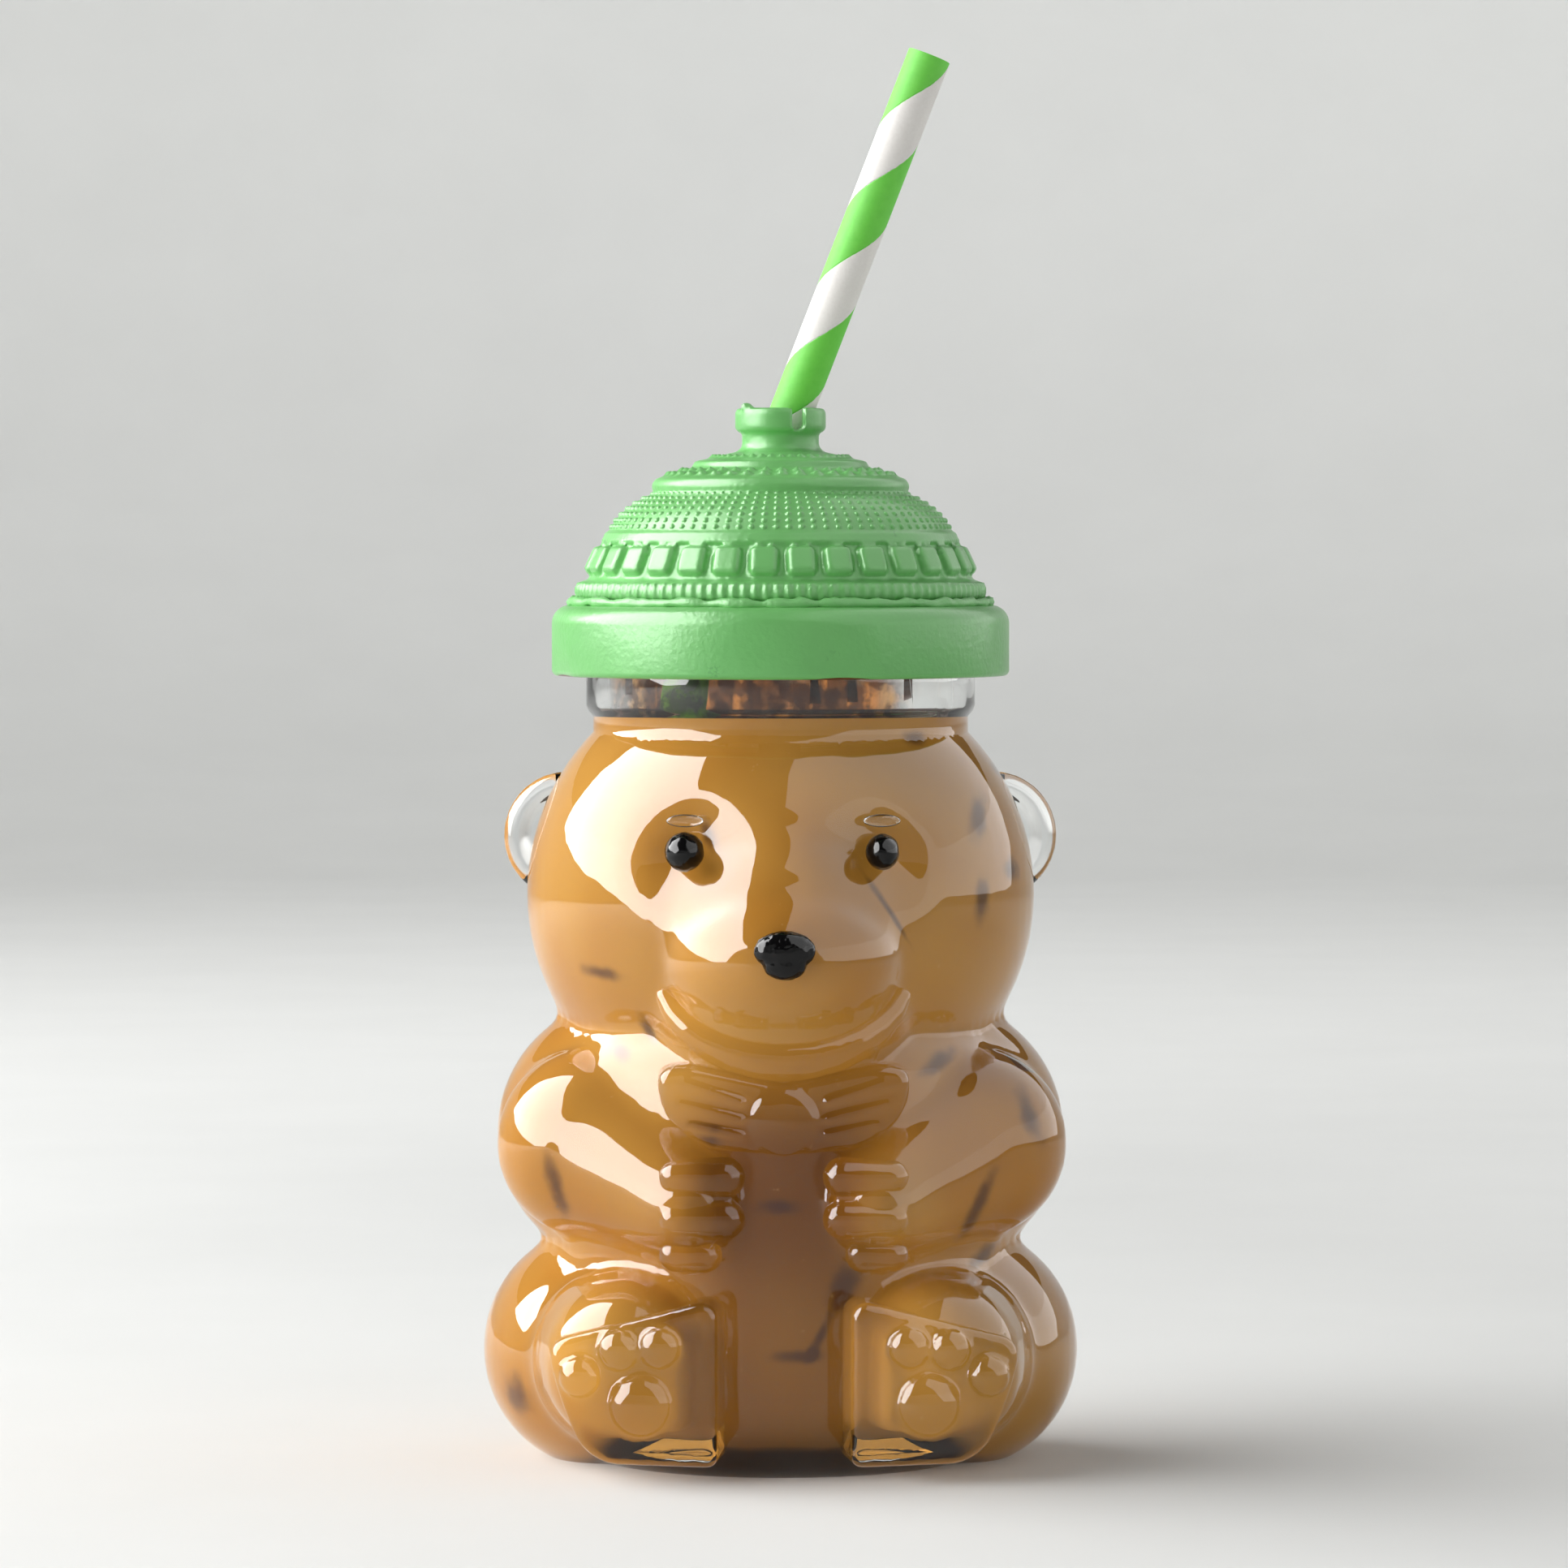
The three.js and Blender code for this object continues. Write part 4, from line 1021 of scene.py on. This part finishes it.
clear_glass, place = new_finish("clear_glass")
ripple = noise(place, 9, 1)
x, _, z = parts_of(place)
splash = noise(place, 5, 3) * SPLASH_HEIGHT * MM
# A coffee film on the neck's inside, tinted dark as painted shade; its thin patches are painted orange
# glints
coffee_film_and_shade = fade(z, FILL_Z - 1, FILL_Z) - fade(z + splash, FILL_Z + 8, FILL_Z + 12)
coffee_film_and_shade = coffee_film_and_shade * fade(x + splash, -21, -17) * (1 - fade(x + splash, 17, 22))
coffee_film_and_shade = coffee_film_and_shade * (1 - fade(axis_distance(place), NECK_RADIUS - 1.4, NECK_RADIUS - 1))
thin_film_glints = step(noise(place, 2.4, 3), 0.46, 0.66)
film_shade_tint = blend(thin_film_glints, THICK_FILM_SHADE_TINT, THIN_FILM_GLINT_TINT)
shell = place.node("ShaderNodeBsdfPrincipled", {
    "Base Color": blend(coffee_film_and_shade, CLEAR_TINT, film_shade_tint), "Roughness": 0.01, "IOR": GLASS_IOR,
    "Transmission Weight": 1, "Normal": bump(ripple, 0.12)})
open_way = place.node("ShaderNodeBsdfTransparent")
lamp_ray = place.node("ShaderNodeLightPath", output="Is Shadow Ray")
bounce_ray = place.node("ShaderNodeLightPath", output="Is Diffuse Ray")
mixed = place.node("ShaderNodeMixShader", {
    "Fac": lamp_ray + bounce_ray, "Shader": shell, "Shader_001": open_way})
place.node("ShaderNodeOutputMaterial", {"Surface": mixed})
print("Finish:", clear_glass.name)

# %% [markdown]
# ## Milk coffee
# The drink is milky and even, warm where light soaks in. Where ice touches the glass there is no milk in
# between, so a dark, soft-edged streak shows. Each streak is a flattened ball in space, and the drink
# darkens inside it. The belly, which arms and legs shade, is darkened to a deeper brown as painted shade.
# The underside, which stands close over the floor, is darkened as painted shade too.

# %% Drink finish
# Each smear: x and z as seen from the front, half its width and height, and its tilt in degrees
STREAKS = [
    (-24.5, 71, 4, 1.2, 10), (-10, 90.5, 3.4, 1.2, 70), (26.6, 92, 1.6, 4.6, 8), (31, 84.5, 1.3, 2, 0),
    (27, 80.5, 1.2, 4, 5), (29.5, 98, 2, 2.4, 0), (-22.3, 59, 2.4, 1.8, 30), (-18, 63, 1.2, 3.4, -25),
    (-31, 41, 1.4, 6, -20), (-34, 34, 3.4, 1.6, 35), (34, 50, 1.5, 4.4, -20), (21, 57.5, 4.4, 1.5, -30),
    (26, 38, 1.2, 7.6, 30), (27, 30, 1.6, 5, 40), (5, 20.5, 0.9, 4.6, 25), (2, 17.6, 4.4, 1.2, 0),
    (-36, 10.5, 2.6, 3.6, -15), (8.4, 27.4, 2.6, 5, 15), (-0.5, 38.6, 4.2, 1.4, 0), (18, 103, 2, 2, -20),
    (14, 79.5, 0.6, 6.5, -35), (-10.5, 48.5, 3.4, 1.5, 10),
]
STREAK_DEPTH = 6
STREAK_EDGE = 1.4
WANDER = 0.9
FRONT_Y = -80
MILK_DARK = colour(186, 126, 47)
MILK_PALE = colour(198, 144, 65)
# Painted shade: the deeper brown that the shaded belly is darkened to
BELLY_SHADE_TONE = colour(112, 62, 14)
SMEAR_TONE = colour(64, 38, 34)
SMEAR_STRENGTH = 0.8
FLECK_TONE = colour(226, 186, 124)
FLECK_STRENGTH = 0.15
# Painted shade: the dark brown that the underside over the floor is darkened to
UNDERSIDE_SHADE_TONE = colour(70, 44, 22)

drink_finish, place = new_finish("milk_coffee")
wander = (noise(place, 3, 2) - 0.5) * WANDER


def wall_point(x, z):
    """Where a line from the front, at x and z in millimetres, meets the drink."""
    hit, point, _, _ = drink.ray_cast(Vector((x, FRONT_Y, z)) * MM, Vector((0, 1, 0)))
    return point if hit else Vector((x, 0, z)) * MM


def streak(x, z, half_width, half_height, tilt):
    """1 in the middle of a smear, 0 at its edge."""
    middle = wall_point(x, z)
    turned_place = place.node("ShaderNodeMapping", {
        "Vector": place, "Location": middle, "Rotation": (0, math.radians(tilt), 0),
        "Scale": Vector((half_width, STREAK_DEPTH, half_height)) * MM}, {"vector_type": "TEXTURE"})
    distance = place.node("ShaderNodeVectorMath", {"Vector": turned_place}, {"operation": "LENGTH"}, "Value")
    return 1 - step(distance + wander, 0, STREAK_EDGE)


smears = streak(*STREAKS[0])
for numbers in STREAKS[1:]:
    smears = smears + streak(*numbers)
smears = step(smears, 0, 1.15)
cloudy = noise(place, 30, 2)
flecks = step(noise(place, 0.9, 1), 0.74, 0.8)
milk = blend(step(cloudy, 0.3, 0.7), MILK_DARK, MILK_PALE)
across, depth, height = parts_of(place)
# Painted shade on the belly between arms and legs, at the front only, stronger higher up
belly_painted_shade = 1 - fade(place.sum("ABSOLUTE", across), 5, 19)
belly_painted_shade = belly_painted_shade * (1 - fade(height, 46, 62)) * (1 - fade(depth, -25, -10))
belly_painted_shade = belly_painted_shade * (0.68 + fade(height, 18, 38) * 0.27)
milk = blend(belly_painted_shade, milk, BELLY_SHADE_TONE)
milk = blend(smears * SMEAR_STRENGTH, milk, SMEAR_TONE)
milk = blend(flecks * FLECK_STRENGTH, milk, FLECK_TONE)
# Painted shade on the underside, where the drink stands close over the floor
underside_painted_shade = 1 - fade(height, BASE_THICKNESS - 0.1, BASE_THICKNESS + 0.4)
underside_painted_shade = underside_painted_shade * (1 - fade(axis_distance(place), 26, 31))
milk = blend(underside_painted_shade, milk, UNDERSIDE_SHADE_TONE)
surface(place, Base_Color=milk, Roughness=0.35, Specular_IOR_Level=0.0)
print("Finish:", drink_finish.name, "with", len(STREAKS), "smears")

# %% [markdown]
# ## Paint, enamel and rubber
# The lid and the dome share one sprayed green. A spray gun leaves orange peel, a fine dimpled skin, with
# a few thin spots and scratches. Enamel is the same idea in black and much glossier. The seal is soft and
# matt, and the ice is clear with a stain of coffee.

# %% Green paint
PAINT_DARK = colour(104, 182, 98)
PAINT_PALE = colour(120, 194, 112)
SCUFF_TONE = colour(62, 128, 66)
SCUFF_STRENGTH = 0.35
LACQUER_TONE = colour(92, 52, 18)


def inside_lid(place):
    """1 on the bare, brown-lacquered inside of the tin, 0 elsewhere."""
    height = place.node("ShaderNodeSeparateXYZ", {"Vector": place}, output="Z")
    inner = place.sum("LESS_THAN", axis_distance(place), (LID_RADIUS - LID_WALL + 0.1) * MM)
    return inner * place.sum("LESS_THAN", height, (PANEL_Z - SHOULDER - 0.2) * MM)


def green_paint(name, peel, peel_depth, gloss):
    finish, place = new_finish(name)
    tone = blend(noise(place, 14, 3), PAINT_DARK, PAINT_PALE)
    scuffs = step(noise(place, 5, 6), 0.66, 0.72) * step(noise(place, 0.5, 2), 0.5, 0.6)
    tone = blend(scuffs * SCUFF_STRENGTH, tone, SCUFF_TONE)
    skin = noise(place, peel, 2) + noise(place, peel * 4, 2) * 0.8
    roughness = gloss + noise(place, 6, 3) * 0.16
    tone = blend(inside_lid(place), tone, LACQUER_TONE)
    surface(place, Base_Color=tone, Roughness=roughness, Normal=bump(skin, peel_depth), Coat_Weight=0.05,
            Coat_Roughness=0.12, Specular_IOR_Level=0.4)
    print("Finish:", name)
    return finish


lid_paint = green_paint("green_lid_paint", 0.8, 0.055, 0.23)
dome_paint = green_paint("green_dome_paint", 0.7, 0.03, 0.26)
glue_paint = green_paint("green_glue_paint", 0.5, 0.06, 0.34)

# %% Enamel, seal and ice
ICE_IOR = 1.31

enamel, place = new_finish("black_enamel")
brush_marks = noise(place, 0.6, 3)
black = blend(brush_marks, colour(5, 5, 6), colour(11, 10, 11))
surface(place, Base_Color=black, Roughness=0.05 + brush_marks * 0.08, Normal=bump(brush_marks, 0.02),
        Specular_IOR_Level=0.3)
seal_finish, place = new_finish("seal_compound")
grain = noise(place, 0.8, 4)
cream = blend(grain, colour(222, 217, 202), colour(236, 232, 220))
surface(place, Base_Color=cream, Roughness=0.55 + grain * 0.2, Normal=bump(grain, 0.04))
ice_finish, place = new_finish("wet_ice")
cracks = noise(place, 3, 5)
stained = blend(cracks, colour(150, 110, 80), colour(196, 170, 140))
surface(place, Base_Color=stained, Roughness=0.08 + cracks * 0.2, Normal=bump(cracks, 0.1),
        Transmission_Weight=0.7, IOR=ICE_IOR)
print("Finishes:", enamel.name, seal_finish.name, ice_finish.name)

# %% [markdown]
# ## Striped paper
# The paper is wound in a spiral, so its green and white bands climb like a screw thread. The place on the
# piece is turned upright first. Then the height, less the turn about the axis, says which band a point
# lies in.

# %% Paper finish
BAND_PITCH = 24.5
paper, place = new_finish("striped_paper")
foot_turned = Vector((straw_foot.x * math.cos(STRAW_LEAN) - straw_foot.z * math.sin(STRAW_LEAN), 0, 0))
upright = place.node("ShaderNodeMapping", {
    "Vector": place, "Rotation": (0, -STRAW_LEAN, 0), "Location": -foot_turned * MM})
right, back, up = parts_of(upright)
top_height = straw_top.x * math.sin(STRAW_LEAN) + straw_top.z * math.cos(STRAW_LEAN)
turn = place.sum("ARCTAN2", back, right) / (2 * math.pi)
winding = place.sum("FRACT", (up - top_height * MM) / (BAND_PITCH * MM) - turn)
waver = (noise(place, 0.7, 2) - 0.5) * 0.012
white_band = step(winding + waver, 0.495, 0.505) - step(winding + waver, 0.992, 1.0)
fibre = noise(place, 0.35, 4)
ink = blend(noise(place, 1.2, 4), colour(92, 210, 42), colour(112, 222, 60))
sheet = blend(fibre, colour(238, 233, 228), colour(250, 247, 243))
edge = place.sum("ABSOLUTE", place.sum("FRACT", winding * 2) - 0.5)
seam = step(edge, 0.485, 0.5)
surface(place, Base_Color=blend(white_band, ink, sheet), Roughness=0.62 + fibre * 0.2,
        Normal=bump(fibre * 0.3 - seam, 0.06))
print("Finish:", paper.name)

# %% [markdown]
# ## Dressing the frame
# Each piece gets its finish, rides on the body that it belongs to and stands for the solids that it
# replaces.

# %% Pieces onto their bodies
def dress(piece, finish, body, slot, *nodes, crease=50):
    deselect()
    piece.select_set(True)
    bpy.context.view_layer.objects.active = piece
    bpy.ops.object.shade_smooth_by_angle(angle=math.radians(crease))
    piece.data.materials.clear()
    piece.data.materials.append(finish)
    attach(piece, body)
    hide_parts(*nodes)
    print(piece.name, "rides on", body)


dress(glass, clear_glass, "jar", "clear_glass", "glass_jar")
dress(drink, drink_finish, "jar", "milk_coffee", "drink")
dress(left_eye, enamel, "jar", "black_enamel", "left_eye")
dress(right_eye, enamel, "jar", "black_enamel", "right_eye")
dress(nose, enamel, "jar", "black_enamel", "nose")
for number, cube in enumerate(ice_cubes, start=1):
    dress(cube, ice_finish, "jar", "ice", f"ice_cube_{number}")
dress(seal, seal_finish, "seal_ring", "seal", "lid_seal")
dress(lid, lid_paint, "lid", "green_lid_paint", "lid_shell", crease=60)
dress(dome, dome_paint, "lid", "green_hat_paint", "dome_hat", "straw_collar", crease=80)
dress(glue, glue_paint, "lid", "glue", "glue_bead", crease=80)
dress(straw, paper, "straw", "striped_paper", "straw")

# %% [markdown]
# ## Studio
# The jar stands on a pale sweep that rises far behind it on every side. A bright window-like box on the
# left and a large dim one on the right light it. Each has a second lamp that only polished surfaces see,
# because real boxes look much brighter in glass than the light they cast on paper would suggest. Four
# small boxes above the jar face away from it and keep the sweep pale all round.

# %% Sweep
SWEEP_Z = -0.05
SWEEP_PROFILE = [(0, SWEEP_Z), (1700, SWEEP_Z), (2000, 40), (2250, 160), (2400, 400), (2450, 900)]

sweep = turned("studio_sweep", SWEEP_PROFILE, 96)
bpy.ops.object.shade_smooth()
sweep_finish, place = new_finish("pale_sweep")
mottle = noise(place, 60, 3)
pale = blend(mottle, colour(226, 227, 225), colour(232, 233, 231))
surface(place, Base_Color=pale, Roughness=0.8 + mottle * 0.1)
sweep.data.materials.append(sweep_finish)
print(size_of(sweep))

# %% Lamps
def softbox(name, place, aim, width, tall, radiance, roll=0, mirrored=False):
    """A box of light at a place, facing its aim; lengths are in metres, the roll in degrees."""
    deselect()
    bpy.ops.object.light_add(type="AREA", location=place)
    box = bpy.context.object
    box.name = name
    box.data.shape = "RECTANGLE"
    box.data.size = width
    box.data.size_y = tall
    box.data.energy = radiance * math.pi * width * tall
    facing = (Vector(aim) - Vector(place)).to_track_quat("-Z", "Y")
    box.rotation_euler = (facing @ Quaternion((0, 0, 1), math.radians(roll))).to_euler()
    box.visible_camera = False
    box.visible_transmission = False
    box.visible_diffuse = not mirrored
    box.visible_glossy = mirrored
    print(name, "gives", round(box.data.energy, 1), "W")


JAR_MIDDLE = (0, 0, 0.09)
WASH_OFFSET = 0.2
WASH_HEIGHT = 1.5
WASH_SIZE = 0.6
WASH_FRONT = 11
WASH_BACK = 22

softbox("window_left", (-0.8, 0.05, 0.62), JAR_MIDDLE, 1.5, 1.2, 3.3)
softbox("window_left_mirrored", (-0.953, -0.356, 0.534), (-0.155, -0.54, -0.04), 1.71, 1.1, 13, roll=-20,
        mirrored=True)
softbox("panel_right", (0.7, -0.1, 0.65), JAR_MIDDLE, 1.5, 1.2, 0.2)
softbox("panel_right_mirrored", (0.72, -0.07, 0.72), JAR_MIDDLE, 2.4, 1.72, 2.1, mirrored=True)
for side in SIDES:
    for end, radiance in ((-1, WASH_FRONT), (1, WASH_BACK)):
        wash_place = (side * WASH_OFFSET, end * WASH_OFFSET, WASH_HEIGHT)
        softbox("sweep_wash", wash_place, (side, end, WASH_HEIGHT), WASH_SIZE, WASH_SIZE, radiance)
world = bpy.data.worlds.new("studio")
world.use_nodes = True
sky = world.node_tree.nodes["Background"]
sky.inputs["Color"].default_value = (1, 0.98, 0.96, 1)
sky.inputs["Strength"].default_value = 0.08
bpy.context.scene.world = world
bpy.context.scene.view_settings.view_transform = "Standard"
